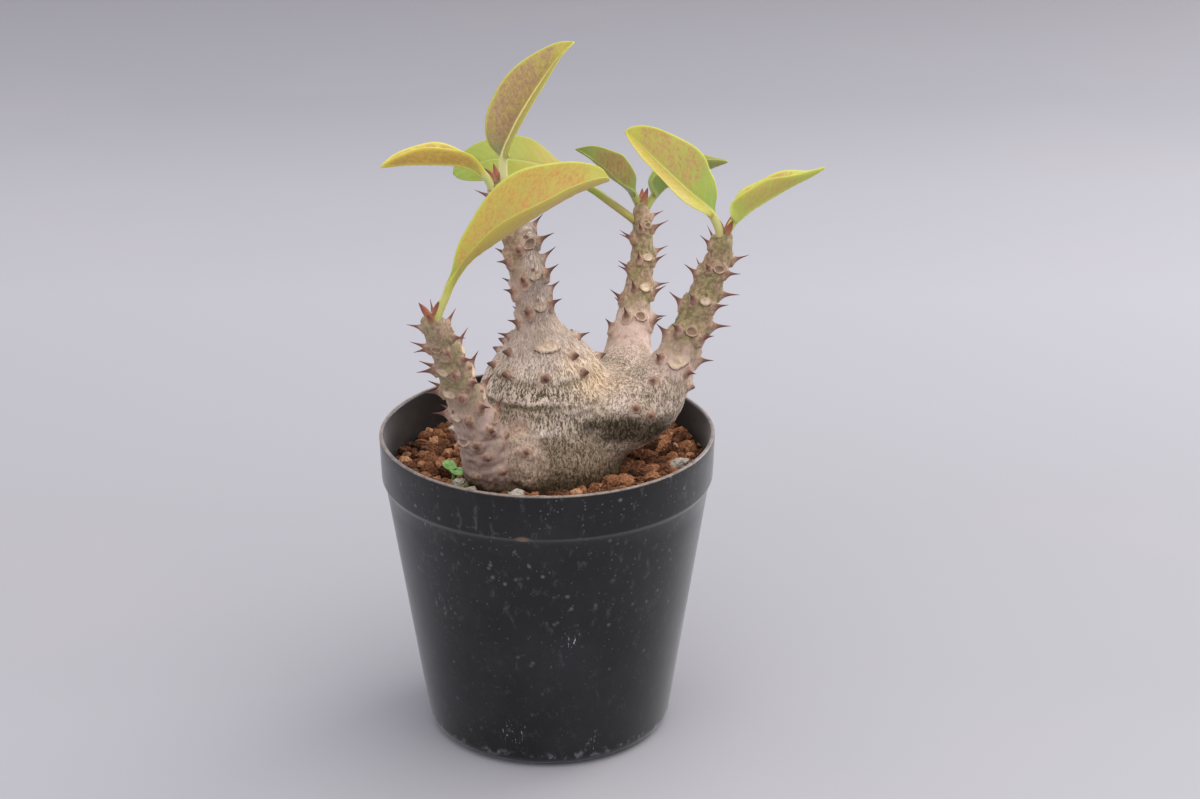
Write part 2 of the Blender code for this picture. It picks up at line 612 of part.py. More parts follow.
def pot_profile():
    """The pot's section, from the middle of its floor up the inside and down the outside."""
    band = POT_HEIGHT - BAND_HEIGHT
    points = [(0.0, FLOOR), (CHANNEL_INNER - 1.2, FLOOR), (CHANNEL_INNER + 0.3, CHANNEL_DEPTH + FLOOR)]
    points += [(CHANNEL_OUTER - 0.3, CHANNEL_DEPTH + FLOOR), (CHANNEL_OUTER + 1.2, FLOOR)]
    points += [(BASE_RADIUS - BASE_CORNER, FLOOR)]
    for degrees in (35.0, 65.0):
        angle = math.radians(degrees)
        reach = BASE_CORNER - FLOOR
        points.append((BASE_RADIUS - BASE_CORNER + reach * math.sin(angle) + 0.1,
                       BASE_CORNER - reach * math.cos(angle)))
    points += [(inner_radius(BASE_CORNER + 0.5), BASE_CORNER + 0.5)]
    points += [(inner_radius(band - 2.0), band - 2.0), (inner_radius(band + 0.1), band + 0.1)]
    points += [(RIM_RADIUS - WALL, POT_HEIGHT - 0.5), (RIM_RADIUS - WALL + 0.3, POT_HEIGHT)]
    points += [(RIM_RADIUS - 0.3, POT_HEIGHT), (RIM_RADIUS, POT_HEIGHT - 0.4)]
    points += [(RIM_RADIUS - 0.1, POT_HEIGHT - 3.0), (wall_radius(band + 0.1), band + 0.8)]
    points += [(wall_radius(band - 0.1), band - 1.0), (BASE_RADIUS, BASE_CORNER)]
    for degrees in (60.0, 30.0):
        angle = math.radians(degrees)
        points.append((BASE_RADIUS - BASE_CORNER + BASE_CORNER * math.sin(angle),
                       BASE_CORNER - BASE_CORNER * math.cos(angle)))
    points += [(BASE_RADIUS - BASE_CORNER, 0.0), (CHANNEL_OUTER + 0.6, 0.0)]
    points += [(CHANNEL_OUTER - 0.9, CHANNEL_DEPTH), (CHANNEL_INNER + 0.9, CHANNEL_DEPTH)]
    points += [(CHANNEL_INNER - 0.6, 0.0), (0.0, 0.0)]
    return points


def make_pot(collection, tools):
    """The nursery pot, with drain holes in the raised channel of its underside."""
    pot = turned("pot", pot_profile(), collection)
    for i in range(DRAIN_COUNT):
        angle = 2 * math.pi * (i + 0.5) / DRAIN_COUNT
        bm = bmesh.new()
        bmesh.ops.create_cone(bm, cap_ends=True, segments=10, radius1=DRAIN_RADIUS * MM,
                              radius2=DRAIN_RADIUS * MM, depth=12.0 * MM)
        hole = object_from_bmesh("drain_hole", bm, tools)
        hole.location = (DRAIN_RING * MM * math.cos(angle), DRAIN_RING * MM * math.sin(angle), 2.0 * MM)
    boolean_with(pot, "DIFFERENCE", tools)
    keep_largest_piece(pot)
    pot.data.shade_smooth()
    pot.data.set_sharp_from_angle(angle=math.radians(32.0))
    pot.data.materials.append(material("pot", POT_COLOUR, 0.42))
    return pot


def soil_height(x, y):
    """Height of the soil's surface between its grains."""
    away = min(math.hypot(x, y) / RIM_RADIUS, 1.0)
    return SOIL_LEVEL + SOIL_MOUND * (1.0 - away ** 2) + SOIL_TILT * x


def make_soil_bed(collection):
    """The fill below the grains, a clearance away from the pot's wall and floor."""
    gap = CLEARANCE
    floor = FLOOR + gap
    top_radius = inner_radius(SOIL_LEVEL) - gap
    profile = [(0.0, SOIL_LEVEL)]
    profile += [(top_radius * share, SOIL_LEVEL) for share in (0.35, 0.6, 0.8, 0.93, 1.0)]
    band = POT_HEIGHT - BAND_HEIGHT
    profile += [(inner_radius(band + 0.1) - gap, band + 0.1), (inner_radius(band - 2.0) - gap, band - 2.0)]
    profile += [(inner_radius(BASE_CORNER + 0.5) - gap, BASE_CORNER + 0.9)]
    profile += [(BASE_RADIUS - BASE_CORNER - 0.3, floor + 0.2), (CHANNEL_OUTER + 1.2 + gap, floor)]
    profile += [(CHANNEL_OUTER - 0.1, CHANNEL_DEPTH + floor), (CHANNEL_INNER + 0.1, CHANNEL_DEPTH + floor)]
    profile += [(CHANNEL_INNER - 1.2 - gap, floor), (0.0, floor)]
    bed = turned("soil", profile, collection)
    for vert in bed.data.vertices:
        if vert.co.z > (SOIL_LEVEL - 0.01) * MM:
            vert.co.z = soil_height(vert.co.x / MM, vert.co.y / MM) * MM
    return bed


def grain_mesh(rng, size):
    """A rough clay grain."""
    bm = bmesh.new()
    bmesh.ops.create_icosphere(bm, subdivisions=1, radius=size * MM)
    stretch = Vector((rng.uniform(0.85, 1.25), rng.uniform(0.8, 1.1), rng.uniform(0.65, 0.95)))
    for vert in bm.verts:
        vert.co = Vector(a * b for a, b in zip(vert.co, stretch)) * rng.uniform(0.88, 1.12)
    return bm


def scatter_grains(collection, tree):
    """Grains over the soil, from the plant to the pot's wall."""
    rng = random.Random(SOIL_SEED)
    reach = inner_radius(SOIL_LEVEL)
    for i in range(GRAIN_COUNT):
        size = rng.uniform(GRAIN_MIN, GRAIN_MAX)
        spread = reach * math.sqrt((i + 0.5) / GRAIN_COUNT) + rng.uniform(-1.0, 1.0)
        away = min(spread, reach - 1.28 * size - 0.5)
        angle = i * GOLDEN_ANGLE + rng.uniform(-0.06, 0.06)
        x = away * math.cos(angle)
        y = away * math.sin(angle)
        z = soil_height(x, y) + size * rng.uniform(-0.15, 0.35)
        place = Vector((x, y, z)) * MM
        nearest, normal, _, distance = tree.find_nearest(place)
        inside = (place - nearest).dot(normal) < 0.0
        if inside or distance < 0.35 * size * MM:
            continue
        grain = object_from_bmesh("grain", grain_mesh(rng, size), collection)
        grain.rotation_euler = (rng.uniform(0.0, 6.28), rng.uniform(0.0, 6.28), rng.uniform(0.0, 6.28))
        grain.location = place


def make_soil(collection, tools, plain):
    """The soil with its grains, and the plain hole that the caudex stands in."""
    soil = make_soil_bed(collection)
    tree = BVHTree.FromPolygons([v.co for v in plain.vertices], [p.vertices for p in plain.polygons])
    scatter_grains(tools, tree)
    bpy.context.view_layer.update()
    boolean_with(soil, "UNION", tools)
    hole = bpy.data.objects.new("stem_hole", plain)
    tools.objects.link(hole)
    swell = hole.modifiers.new("clearance", "DISPLACE")
    swell.mid_level = 0.0
    swell.strength = STEM_CLEARANCE * MM
    apply_modifiers(hole)
    foot = Vector(SPROUT_FOOT)
    rows = [(*(foot + Vector((0.0, 0.0, step))), SPROUT_STEM + CLEARANCE) for step in (-CLEARANCE, 8.0)]
    bm = bmesh.new()
    add_rings(bm, stem_rings(np.array(rows), 10))
    object_from_bmesh("sprout_hole", bm, tools)
    boolean_with(soil, "DIFFERENCE", tools)
    keep_largest_piece(soil)
    soil.data.shade_smooth()
    soil.data.set_sharp_from_angle(angle=math.radians(25.0))
    soil.data.materials.append(material("soil", SOIL_COLOUR, 0.95))
    return soil


def make_seedling(collection, tools):
    """A sprout with two seed leaves: a stem tube with a thin rounded leaf on each side, in one body."""
    foot = np.array(SPROUT_FOOT)
    top = foot + np.array((0.3, -0.2, SPROUT_HEIGHT))
    bm = bmesh.new()
    rows = np.array([np.append(foot + (top - foot) * share, SPROUT_STEM) for share in (0.0, 0.5, 1.0)])
    add_rings(bm, stem_rings(rows, 6))
    sprout = object_from_bmesh("weed_seedling", bm, collection)
    for turn, rise in ((2.5, 0.75), (-1.0, 0.25)):
        heading = np.array((math.cos(turn), math.sin(turn), rise))
        heading /= np.linalg.norm(heading)
        start = top - heading * 0.3 - np.array((0.0, 0.0, 0.35))
        leaf = dict(route=[start + heading * SPROUT_LEAF_LENGTH * s - np.array((0, 0, 1.1 * s * s))
                           for s in (0.0, 0.33, 0.66, 1.0)],
                    blade_from=0.0, half_width=SPROUT_LEAF_WIDTH, widest=0.55, ends=(0.8, 0.5), fold=10.0,
                    bow=0.0, up=((0.0, -0.3, 1.0), (0.0, -0.3, 1.0)), wave=0.0)
        bm = bmesh.new()
        upper, lower = leaf_rows(leaf, 5, (-1.0, 0.0, 1.0))
        add_sheet(bm, upper, lower)
        object_from_bmesh("seed_leaf", bm, tools)
    boolean_with(sprout, "UNION", tools)
    keep_largest_piece(sprout)
    sprout.data.shade_smooth()
    sprout.data.materials.append(material("weed_seedling", SPROUT_COLOUR, 0.5))
    return sprout


def main():
    """Build every piece."""
    clear_scene()
    parts = new_collection(COLLECTION)
    tools = new_collection("cutters")
    make_pot(parts, tools)
    _, plain = make_caudex(parts, tools)
    for name, leaf in LEAVES.items():
        make_leaf(name, leaf, parts)
    make_seedling(parts, tools)
    make_soil(parts, tools, plain)


main()
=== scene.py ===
"""Looks of the potted pachypodium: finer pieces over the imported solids, node materials, soft studio light.

Lengths are in millimetres until they reach a mesh. +Z is up, and the plant's front faces -Y.
"""
import json
import math
import random

import bmesh
import bpy
import numpy as np
from mathutils import Matrix, Vector, noise
from mathutils.bvhtree import BVHTree
from mathutils.kdtree import KDTree

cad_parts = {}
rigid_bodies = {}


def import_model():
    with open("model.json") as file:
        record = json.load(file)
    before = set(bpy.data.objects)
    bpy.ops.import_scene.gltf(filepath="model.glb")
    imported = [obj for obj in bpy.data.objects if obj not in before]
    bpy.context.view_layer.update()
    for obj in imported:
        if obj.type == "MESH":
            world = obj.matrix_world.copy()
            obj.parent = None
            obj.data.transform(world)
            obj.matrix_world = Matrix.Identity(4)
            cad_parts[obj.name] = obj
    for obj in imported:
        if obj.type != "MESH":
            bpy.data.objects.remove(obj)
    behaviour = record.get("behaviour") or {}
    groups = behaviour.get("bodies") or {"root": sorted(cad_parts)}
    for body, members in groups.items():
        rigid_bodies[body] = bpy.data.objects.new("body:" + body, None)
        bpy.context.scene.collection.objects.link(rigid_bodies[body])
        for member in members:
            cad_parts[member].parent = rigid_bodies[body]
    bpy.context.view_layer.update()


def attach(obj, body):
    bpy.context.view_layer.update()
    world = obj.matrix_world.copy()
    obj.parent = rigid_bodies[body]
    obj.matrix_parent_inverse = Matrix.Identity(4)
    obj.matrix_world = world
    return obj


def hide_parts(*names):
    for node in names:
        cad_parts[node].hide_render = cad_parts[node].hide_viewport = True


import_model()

MM = 0.001
BODY = "root"
COLLECTION = "looks"
MERGE = 0.00002
DEPTH_AXIS = (0.0, 1.0, 0.0)
UP = (0.0, 0.0, 1.0)
FULL_TURN = 6.28

# Pot
POT_HEIGHT = 85.0
RIM_RADIUS = 45.0
BASE_RADIUS = 33.5
BASE_CORNER = 4.5
WALL = 1.3
BAND_HEIGHT = 12.7
BAND_STEP = 0.8
FLOOR = 1.5
CHANNEL_INNER = 13.0
CHANNEL_OUTER = 26.0
CHANNEL_DEPTH = 1.5
DRAIN_RING = 19.5
DRAIN_RADIUS = 3.5
DRAIN_COUNT = 6
POT_STEPS = 180

# Pale scratches on the pot: place, reach and strength
POT_MARKS = (
    (-29.5, -31.5, 71.2, 3.4, 0.9),
    (-26.3, -29.0, 46.8, 4.2, 0.8),
    (6.3, -38.8, 41.5, 4.5, 0.7),
    (-23.5, -26.0, 30.0, 3.0, 0.8),
    (-9.0, -33.5, 11.0, 5.0, 0.7),
    (12.0, -33.0, 6.0, 5.0, 0.4),
    (33.5, -22.0, 55.0, 3.0, 0.5),
)

# Soil. Grains are smallest, largest and how many; tones are middle and spread.
SOIL_LEVEL = 74.0
SOIL_MOUND = 1.2
SOIL_TILT = 0.035
SOIL_RINGS = 44
SOIL_SPOKES = 150
BIG_GRAINS = (1.5, 3.1, 430)
SMALL_GRAINS = (0.4, 1.25, 1500)
SOIL_GAP = 0.3
GRAIN_TRIES = 16000
SOIL_SEED = 11
GRAIN_CUTS = 5
GRAIN_RISE = (-0.25, 0.55)
GRAIN_CLEARANCE = 0.55
GRAIN_SPACING = 0.66
GRAIN_TONES = (0.50, 0.20)
PALE_SHARE = 0.003
# The bed's tone is painted dark as the shade in the gaps between grains
BED_SHADE_TONE = 0.16
STONE_TONE = 0.9
STONE_ROUGHNESS = 1.3

# Caudex body. A slice is height, middle x, middle y, half width, half depth.
BULB = (
    (53.0, 2.5, 0.0, 3.0, 3.0),
    (57.0, 2.5, 0.0, 9.0, 8.0),
    (63.0, 2.0, 0.0, 15.0, 14.0),
    (70.0, 1.5, 0.0, 19.0, 18.0),
    (78.0, 1.0, -0.5, 20.3, 19.0),
    (86.0, 0.4, -0.5, 19.2, 18.4),
    (93.0, 0.0, -0.8, 17.6, 17.0),
    (98.0, -0.1, -0.8, 17.4, 16.4),
    (103.0, -0.2, -0.9, 15.4, 14.6),
    (107.7, -0.2, -1.0, 12.0, 11.8),
    (112.0, -1.0, -1.0, 8.2, 8.2),
    (116.0, -2.0, -1.0, 5.6, 6.0),
)
# A route is rows of x, y, z, radius.
STEMS = {
    "middle": (
        (-1.4, -1.0, 108.0, 8.5), (-2.0, -1.0, 114.5, 5.9), (-3.6, -1.0, 122.0, 4.7),
        (-5.0, -1.0, 129.0, 4.7), (-6.7, -1.0, 137.4, 4.5), (-9.2, -1.0, 145.7, 4.1),
        (-11.4, -0.4, 152.6, 3.2), (-12.3, 0.0, 155.4, 2.1),
    ),
    "front": (
        (-8.5, -11.5, 73.0, 8.6), (-15.0, -16.6, 80.5, 7.0), (-16.4, -19.6, 89.5, 6.5),
        (-19.9, -24.2, 101.5, 5.1), (-22.9, -30.0, 113.0, 4.3), (-25.4, -36.0, 123.0, 3.7),
        (-27.2, -41.0, 130.6, 3.2), (-27.7, -42.4, 133.0, 2.1),
    ),
    "front_lobe": (
        (-4.2, -12.0, 73.0, 8.0), (-5.4, -16.6, 80.5, 6.4), (-6.4, -17.6, 86.5, 5.2),
        (-7.2, -17.4, 91.5, 2.8),
    ),
    "right": (
        (9.0, -3.0, 87.0, 11.5), (18.5, -3.2, 90.5, 11.0), (26.6, -3.2, 95.0, 9.8),
        (31.9, -3.0, 102.0, 7.2), (36.3, -2.2, 110.5, 5.0), (40.4, -1.0, 121.0, 4.2),
        (44.3, 0.0, 131.0, 3.6), (46.5, 0.0, 138.4, 2.9), (46.9, 0.0, 141.2, 2.0),
    ),
    "back": (
        (14.0, 6.0, 88.0, 11.5), (20.8, 14.0, 94.0, 8.8), (22.0, 22.0, 100.0, 6.4),
        (23.9, 30.0, 109.0, 4.4), (25.3, 35.0, 117.0, 3.5), (25.9, 39.0, 125.5, 3.1),
        (25.5, 41.6, 133.0, 2.6), (25.4, 42.4, 135.4, 1.9),
    ),
}
# Shelf-like wrinkles round the bulb: height, how far they stand out, how far their slope reaches up, and
# the heading in degrees where they are strongest with how far round that reaches
RIDGES = (
    (104.6, 0.46, 1.8, -95.0, 70.0),
    (98.6, 0.74, 1.9, -126.0, 48.0),
    (96.4, 0.50, 1.6, -42.0, 26.0),
    (90.6, 0.55, 1.6, -112.0, 24.0),
)
RIDGE_ELSEWHERE = 0.3
# The gnarled front foot: the heights over which it fades and where it ends on its right, and the same for the
# groove round it
GNARL_FADE = (92.0, 100.0)
GNARL_RIGHT = 2.0
GROOVE_LEVEL = 92.2
GROOVE_DEPTH = 0.45
GROOVE_RIGHT = -9.5
VOXEL = 1.1
BODY_SMOOTHING = 8
FINE_VOXEL = 0.48
FINE_SMOOTHING = 3
# The bulb's grain runs as if on a tube of this radius, and bends outward where it is narrower than this
GRAIN_TUBE = 16.0
GRAIN_WIDEST = 22.0
# Where rough bark fades along each branch, from and to as shares of its route, and how rough it is
ROUGH_BARK = {
    "middle": (0.04, 0.14, 0.9), "front": (0.0, 0.20, 0.10), "front_lobe": (0.9, 1.0, 0.40),
    "right": (0.30, 0.50, 0.85), "back": (0.16, 0.34, 0.8),
}

# Thorns. They stand in pairs beside the leaf scars, which wind up each branch.
THORN_LENGTH = 5.0
THORN_BASE = 1.65
THORN_ROOT = 1.3
THORN_SINK = 0.45
THORN_SIDES = 9
SCAR_SPACING = 3.0
PAIR_ANGLE = math.radians(39.0)
LEAF_TURN = math.radians(122.0)
# Where the thorns begin along each branch, as a share of its route, and the first scar's angle
THORN_RUNS = {
    "middle": (0.19, -0.10),
    "front": (0.34, 0.75),
    "right": (0.45, 1.45),
    "back": (0.40, -0.30),
}
# Rows of worn thorn stubs round the bulb: height, first angle and step in degrees, count, length
BULB_STUB_ROWS = ((104.0, -134.0, 47.0, 8, 2.5), (108.3, -148.0, 103.0, 4, 2.6), (110.8, 2.0, 89.0, 3, 3.8))
LOW_STUBS = (
    (-14.1, -25.5, 94.3), (-14.9, -26.5, 87.4), (-18.2, -23.5, 81.2), (-10.4, -24.0, 82.4),
    (-4.8, -23.0, 88.0), (-9.2, -22.0, 92.5), (-27.0, -20.5, 98.1), (28.0, -15.0, 94.6),
    (23.6, -16.0, 97.3), (38.5, -6.0, 99.5), (28.0, -12.0, 104.1),
)
NUB_LENGTH = 1.35
LONG_STUB = 3.0
STUB_TURN = 4.0
STUB_RISE = 0.5
STUB_LIFT = 0.12
BULB_REACH = 19.0
THORN_SEED = 5
# Soft patches on the bark, some its own colour and some painted light and shade: middle, reach and strength
BARK_COLOUR_AND_LIGHT_PATCHES = {
    # Moss: the bark's mossy olive, darkened as painted shade on the right lobe's underside
    "moss": (((20.5, -13.0, 90.4), (8.0, 9.0, 4.4), 1.0), ((26.5, -10.0, 89.5), (9.0, 8.0, 5.5), 0.80),
             ((13.0, -16.0, 92.0), (5.0, 5.0, 2.6), 0.9), ((29.0, -8.0, 92.0), (8.0, 7.0, 4.0), 0.5)),
    # Yellowish fibres under a painted pool of warm light on the bulb's upper right
    "golden_painted_light": (((13.5, -10.0, 103.5), (6.0, 9.0, 5.5), 1.0), ((8.5, -12.0, 108.0), (4.5, 6.0, 3.5), 0.75)),
    # Silvery bark with painted highlights, strongest on the right lobe's top
    "silver_painted_highlight": (((18.0, -15.0, 98.0), (3.6, 5.0, 2.6), 0.8), ((0.0, -17.0, 108.5), (8.0, 8.0, 3.0), 0.7),
               ((-3.0, -19.0, 91.0), (5.0, 5.0, 1.4), 0.7), ((10.5, -17.0, 95.8), (4.0, 5.0, 1.5), 0.8)),
    # A painted shade band with dark fibres, below the upper ridges
    "painted_shade_streaks": (((-3.0, -17.0, 101.2), (15.0, 9.0, 2.2), 0.9), ((4.0, -18.0, 94.5), (12.0, 6.0, 2.2), 0.6)),
}
# Share of a thorn's length, and its radius there as a share of its base
PROFILES = {
    "thorn": ((0.0, 1.0), (0.06, 0.88), (0.13, 0.72), (0.21, 0.56), (0.30, 0.42), (0.40, 0.31), (0.52, 0.22),
              (0.66, 0.15), (0.82, 0.085), (0.94, 0.04)),
    "stub": ((0.0, 1.0), (0.12, 0.84), (0.28, 0.66), (0.46, 0.50), (0.66, 0.35), (0.84, 0.21), (0.96, 0.10)),
    "nub": ((0.0, 1.0), (0.20, 0.76), (0.42, 0.54), (0.64, 0.38), (0.84, 0.24), (0.96, 0.12)),
    "bud": ((0.0, 0.90), (0.12, 0.98), (0.28, 1.0), (0.45, 0.90), (0.62, 0.68), (0.78, 0.42), (0.90, 0.20),
            (0.96, 0.08)),
}
# How much longer than wide a thorn's foot is along the stem, and how far it slides down in shares of its base
FOOT_STRETCH = {"thorn": 1.45, "stub": 1.10, "nub": 0.90, "bud": 1.0}
FOOT_DROP = {"thorn": 0.50, "stub": 0.15, "nub": 0.0, "bud": 0.0}
# How dark each kind grows towards its tip
DARK_TIPS = {"thorn": 1.0, "stub": 0.75, "nub": 0.45, "bud": 1.0}
# The skin's mound under a thorn: height, reach across, below and above it, in millimetres
MOUNDS = {"thorn": (0.70, 1.5, 2.6, 1.2), "stub": (0.55, 2.0, 1.3, 1.0), "nub": (0.70, 1.5, 1.5, 1.3)}
# Large scars: inside point, heading, half height and how much wider than high
LARGE_SCARS = (
    ((-1.0, -1.0, 111.1), (0.16, -1.0, 0.12), 1.45, 2.2),
    ((34.4, -3.0, 107.1), (0.05, -1.0, 0.10), 1.40, 1.8),
)

# Leaves. The blade starts at the share blade_from of the route, up is the upper face's direction at the
# blade's base and tip, fold and bow are in degrees.
PETIOLE_RADIUS = 1.05
BLADE_THICKNESS = 0.46
EDGE_THICKNESS = 0.16
TIP_HALF_WIDTH = 0.15
MIDRIB = 0.50
LEAF_STATIONS = 84
LEAF_ACROSS = 45
FOLD_START = -0.04
FOLD_END = 0.09
VEINS = 15.0
LEAVES = {
    "leaf_front": dict(
        route=((-27.2, -41.4, 130.2), (-26.4, -42.0, 132.3), (-24.5, -42.5, 137.0), (-21.9, -43.0, 142.6),
               (-17.6, -43.5, 148.2), (-11.4, -44.0, 153.0), (-5.0, -44.0, 157.4), (1.6, -43.5, 161.4),
               (7.6, -42.5, 164.6), (12.4, -41.5, 166.4), (16.6, -40.0, 167.5)),
        blade_from=0.16, half_width=11.5, widest=0.58, ends=(1.35, 0.5), fold=38.0, bow=14.0,
        up=((-0.62, -0.35, 0.70), (-0.20, -0.42, 0.90)), wave=0.35),
    "leaf_top_upright": dict(
        route=((-10.5, -0.4, 153.2), (-10.9, -0.6, 156.4), (-10.6, -1.0, 162.0), (-8.2, -1.5, 168.9),
               (-4.4, -1.2, 175.8), (0.3, -0.4, 183.0), (4.2, 0.6, 188.2), (7.6, 1.8, 191.0)),
        blade_from=0.19, half_width=9.1, widest=0.43, ends=(0.68, 0.8), fold=45.0, bow=6.0,
        up=((-0.44, -0.80, 0.40), (-0.50, -0.76, 0.42)), wave=0.15),
    "leaf_top_left": dict(
        route=((-13.9, -1.0, 152.8), (-14.9, -1.6, 155.6), (-17.6, -3.2, 158.8), (-22.4, -5.2, 160.8),
               (-29.4, -7.0, 161.6), (-35.7, -8.0, 161.7), (-41.9, -8.0, 160.9)),
        blade_from=0.17, half_width=5.6, widest=0.50, ends=(0.9, 0.8), fold=48.0, bow=8.0,
        up=((0.10, 0.10, 1.0), (-0.10, 0.10, 1.0)), wave=0.2),
    "leaf_back_left": dict(
        route=((24.8, 42.6, 134.4), (24.0, 41.9, 136.3), (22.6, 39.8, 139.2), (19.4, 36.9, 142.6),
               (16.0, 34.0, 146.0), (12.0, 31.0, 151.0), (7.7, 28.5, 154.6)),
        blade_from=0.16, half_width=6.5, widest=0.42, ends=(0.75, 0.9), fold=36.0, bow=8.0,
        up=((0.45, -0.60, 0.66), (0.30, -0.50, 0.80)), wave=0.25),
    "leaf_back_right": dict(
        route=((26.6, 42.9, 132.2), (27.6, 43.5, 134.2), (29.2, 44.3, 136.4), (32.2, 45.2, 138.8),
               (38.0, 46.0, 141.4), (44.0, 46.4, 143.6), (49.3, 46.4, 145.6)),
        blade_from=0.18, half_width=7.3, widest=0.38, ends=(0.5, 0.9), fold=42.0, bow=8.0,
        up=((-0.45, 0.20, 0.85), (-0.30, 0.0, 0.95)), wave=0.25),
    "leaf_back_long": dict(
        route=((23.6, 40.6, 130.4), (21.8, 39.8, 132.2), (17.2, 38.4, 136.2), (12.0, 37.0, 140.6),
               (4.7, 34.6, 145.6), (-4.7, 32.0, 149.6), (-15.5, 30.0, 150.9), (-25.4, 28.6, 147.4)),
        blade_from=0.31, half_width=9.2, widest=0.57, ends=(1.2, 0.5), fold=9.0, bow=-6.0,
        up=((0.30, -0.45, 0.84), (-0.30, -0.42, 0.86)), wave=0.5),
    "leaf_right_large": dict(
        route=((45.4, -0.9, 140.0), (44.9, -1.6, 142.6), (43.0, -2.8, 146.6), (39.7, -4.5, 150.9),
               (36.0, -6.0, 154.6), (29.5, -7.5, 161.4), (24.4, -8.5, 166.9), (20.5, -9.0, 170.8)),
        blade_from=0.17, half_width=9.4, widest=0.46, ends=(0.8, 0.55), fold=31.0, bow=3.0,
        up=((0.66, -0.57, 0.49), (0.62, -0.66, 0.43)), wave=0.3),
    "leaf_right_side": dict(
        route=((47.0, 0.7, 139.2), (47.8, 0.9, 141.0), (49.3, 1.1, 143.4), (53.0, 1.5, 146.2),
               (59.5, 3.0, 149.8), (64.2, 4.0, 152.2), (68.9, 5.0, 154.3), (72.8, 6.0, 156.4)),
        blade_from=0.15, half_width=6.4, widest=0.30, ends=(0.5, 1.05), fold=44.0, bow=8.0,
        up=((-0.48, 0.33, 0.81), (-0.42, -0.10, 0.90)), wave=0.3),
}
# Colours of each leaf, as seen in daylight (sRGB): along the blade, its blotches, margin, rib and petiole.
# blotch is where the blotches lie (from u, to u) and how far they cover it, soft their edges' softness, veins
# how much the side veins show, and other the colour and strength of the half beyond the rib, with the side
# it lies on (1 or -1).
LEAF_LOOKS = {
    "leaf_front": dict(
        along=((0.0, (150, 166, 66)), (0.30, (170, 174, 82)), (0.65, (182, 180, 96)), (1.0, (186, 186, 98))),
        blotch_colours=((202, 158, 92), (190, 132, 84)), blotch=(0.12, 0.95, 0.54), soft=0.26, veins=0.10,
        other=((190, 172, 92), 0.45, 1.0),
        margin=(192, 194, 88), rib=(200, 194, 108), petiole=(200, 198, 118), under=(196, 182, 98)),
    "leaf_top_upright": dict(
        along=((0.0, (120, 132, 98)), (0.14, (164, 156, 98)), (0.5, (184, 168, 98)), (1.0, (190, 178, 98))),
        blotch_colours=((176, 142, 118), (160, 124, 122)), blotch=(0.04, 0.90, 0.60), soft=0.16, veins=0.10,
        other=((184, 186, 76), 0.85, 1.0),
        margin=(192, 190, 84), rib=(236, 226, 172), petiole=(220, 216, 154), under=(176, 176, 76)),
    "leaf_top_left": dict(
        along=((0.0, (158, 172, 76)), (0.3, (200, 180, 84)), (0.7, (212, 184, 86)), (1.0, (206, 192, 84))),
        blotch_colours=((186, 148, 86), (160, 116, 84)), blotch=(0.08, 0.98, 0.66), soft=0.12, veins=0.08,
        other=((206, 180, 90), 0.2, 1.0),
        margin=(214, 206, 92), rib=(222, 214, 118), petiole=(206, 210, 134), under=(212, 190, 92)),
    "leaf_back_left": dict(
        along=((0.0, (140, 156, 78)), (0.4, (162, 152, 84)), (1.0, (122, 140, 70))),
        blotch_colours=((168, 126, 86), (142, 108, 80)), blotch=(0.1, 0.75, 0.57), soft=0.2, veins=0.04,
        other=((134, 152, 78), 0.4, -1.0),
        margin=(146, 158, 80), rib=(156, 166, 96), petiole=(178, 184, 108), under=(138, 150, 78)),
    "leaf_back_right": dict(
        along=((0.0, (122, 152, 62)), (0.5, (142, 152, 76)), (1.0, (156, 154, 98))),
        blotch_colours=((150, 132, 82), (140, 114, 78)), blotch=(0.15, 0.8, 0.35), soft=0.2, veins=0.04,
        other=((136, 152, 80), 0.3, 1.0),
        margin=(158, 162, 94), rib=(160, 170, 98), petiole=(178, 184, 104), under=(132, 150, 76)),
    "leaf_back_long": dict(
        along=((0.0, (174, 156, 62)), (0.35, (168, 150, 58)), (0.60, (142, 144, 44)), (1.0, (128, 150, 58))),
        blotch_colours=((180, 146, 72), (174, 136, 70)), blotch=(0.05, 0.45, 0.38), soft=0.25, veins=0.06,
        other=((146, 152, 60), 0.3, 1.0),
        margin=(160, 172, 78), rib=(170, 176, 92), petiole=(166, 174, 84), under=(142, 160, 74)),
    "leaf_right_large": dict(
        along=((0.0, (152, 176, 84)), (0.35, (166, 182, 90)), (0.7, (180, 180, 96)), (1.0, (190, 188, 84))),
        blotch_colours=((196, 158, 104), (178, 136, 98)), blotch=(0.26, 0.95, 0.54), soft=0.15, veins=0.14,
        other=((178, 158, 58), 0.70, -1.0),
        margin=(186, 188, 80), rib=(208, 204, 122), petiole=(206, 202, 132), under=(184, 180, 86)),
    "leaf_right_side": dict(
        along=((0.0, (174, 192, 78)), (0.35, (192, 192, 98)), (0.7, (194, 196, 98)), (1.0, (166, 174, 70))),
        blotch_colours=((198, 150, 98), (178, 132, 88)), blotch=(0.12, 0.70, 0.70), soft=0.14, veins=0.06,
        other=((176, 182, 84), 0.4, 1.0),
        margin=(196, 202, 94), rib=(198, 204, 110), petiole=(194, 200, 104), under=(186, 190, 92)),
}

# Sprout: its foot and size, and each seed leaf's heading in radians and rise
SPROUT_FOOT = (-24.9, -12.2, 74.4)
SPROUT_HEIGHT = 4.4
SPROUT_STEM = 0.45
SPROUT_LEAF_LENGTH = 4.6
SPROUT_LEAF_WIDTH = 1.7
SEED_LEAVES = ((2.5, 0.75), (-1.0, 0.25))
MOSS_PATCH = (-23.4, -20.6, 76.2)
MOSS_BLADES = 26
MOSS_ROOM = ((-2.4, 2.4), (-1.3, 1.3), (-0.6, 0.2))
# Loose pumice grains: place and size
PUMICE = ((-22.3, -17.6, 76.6, 2.1), (-19.4, -23.8, 77.2, 1.5), (35.4, -6.6, 77.4, 2.7))

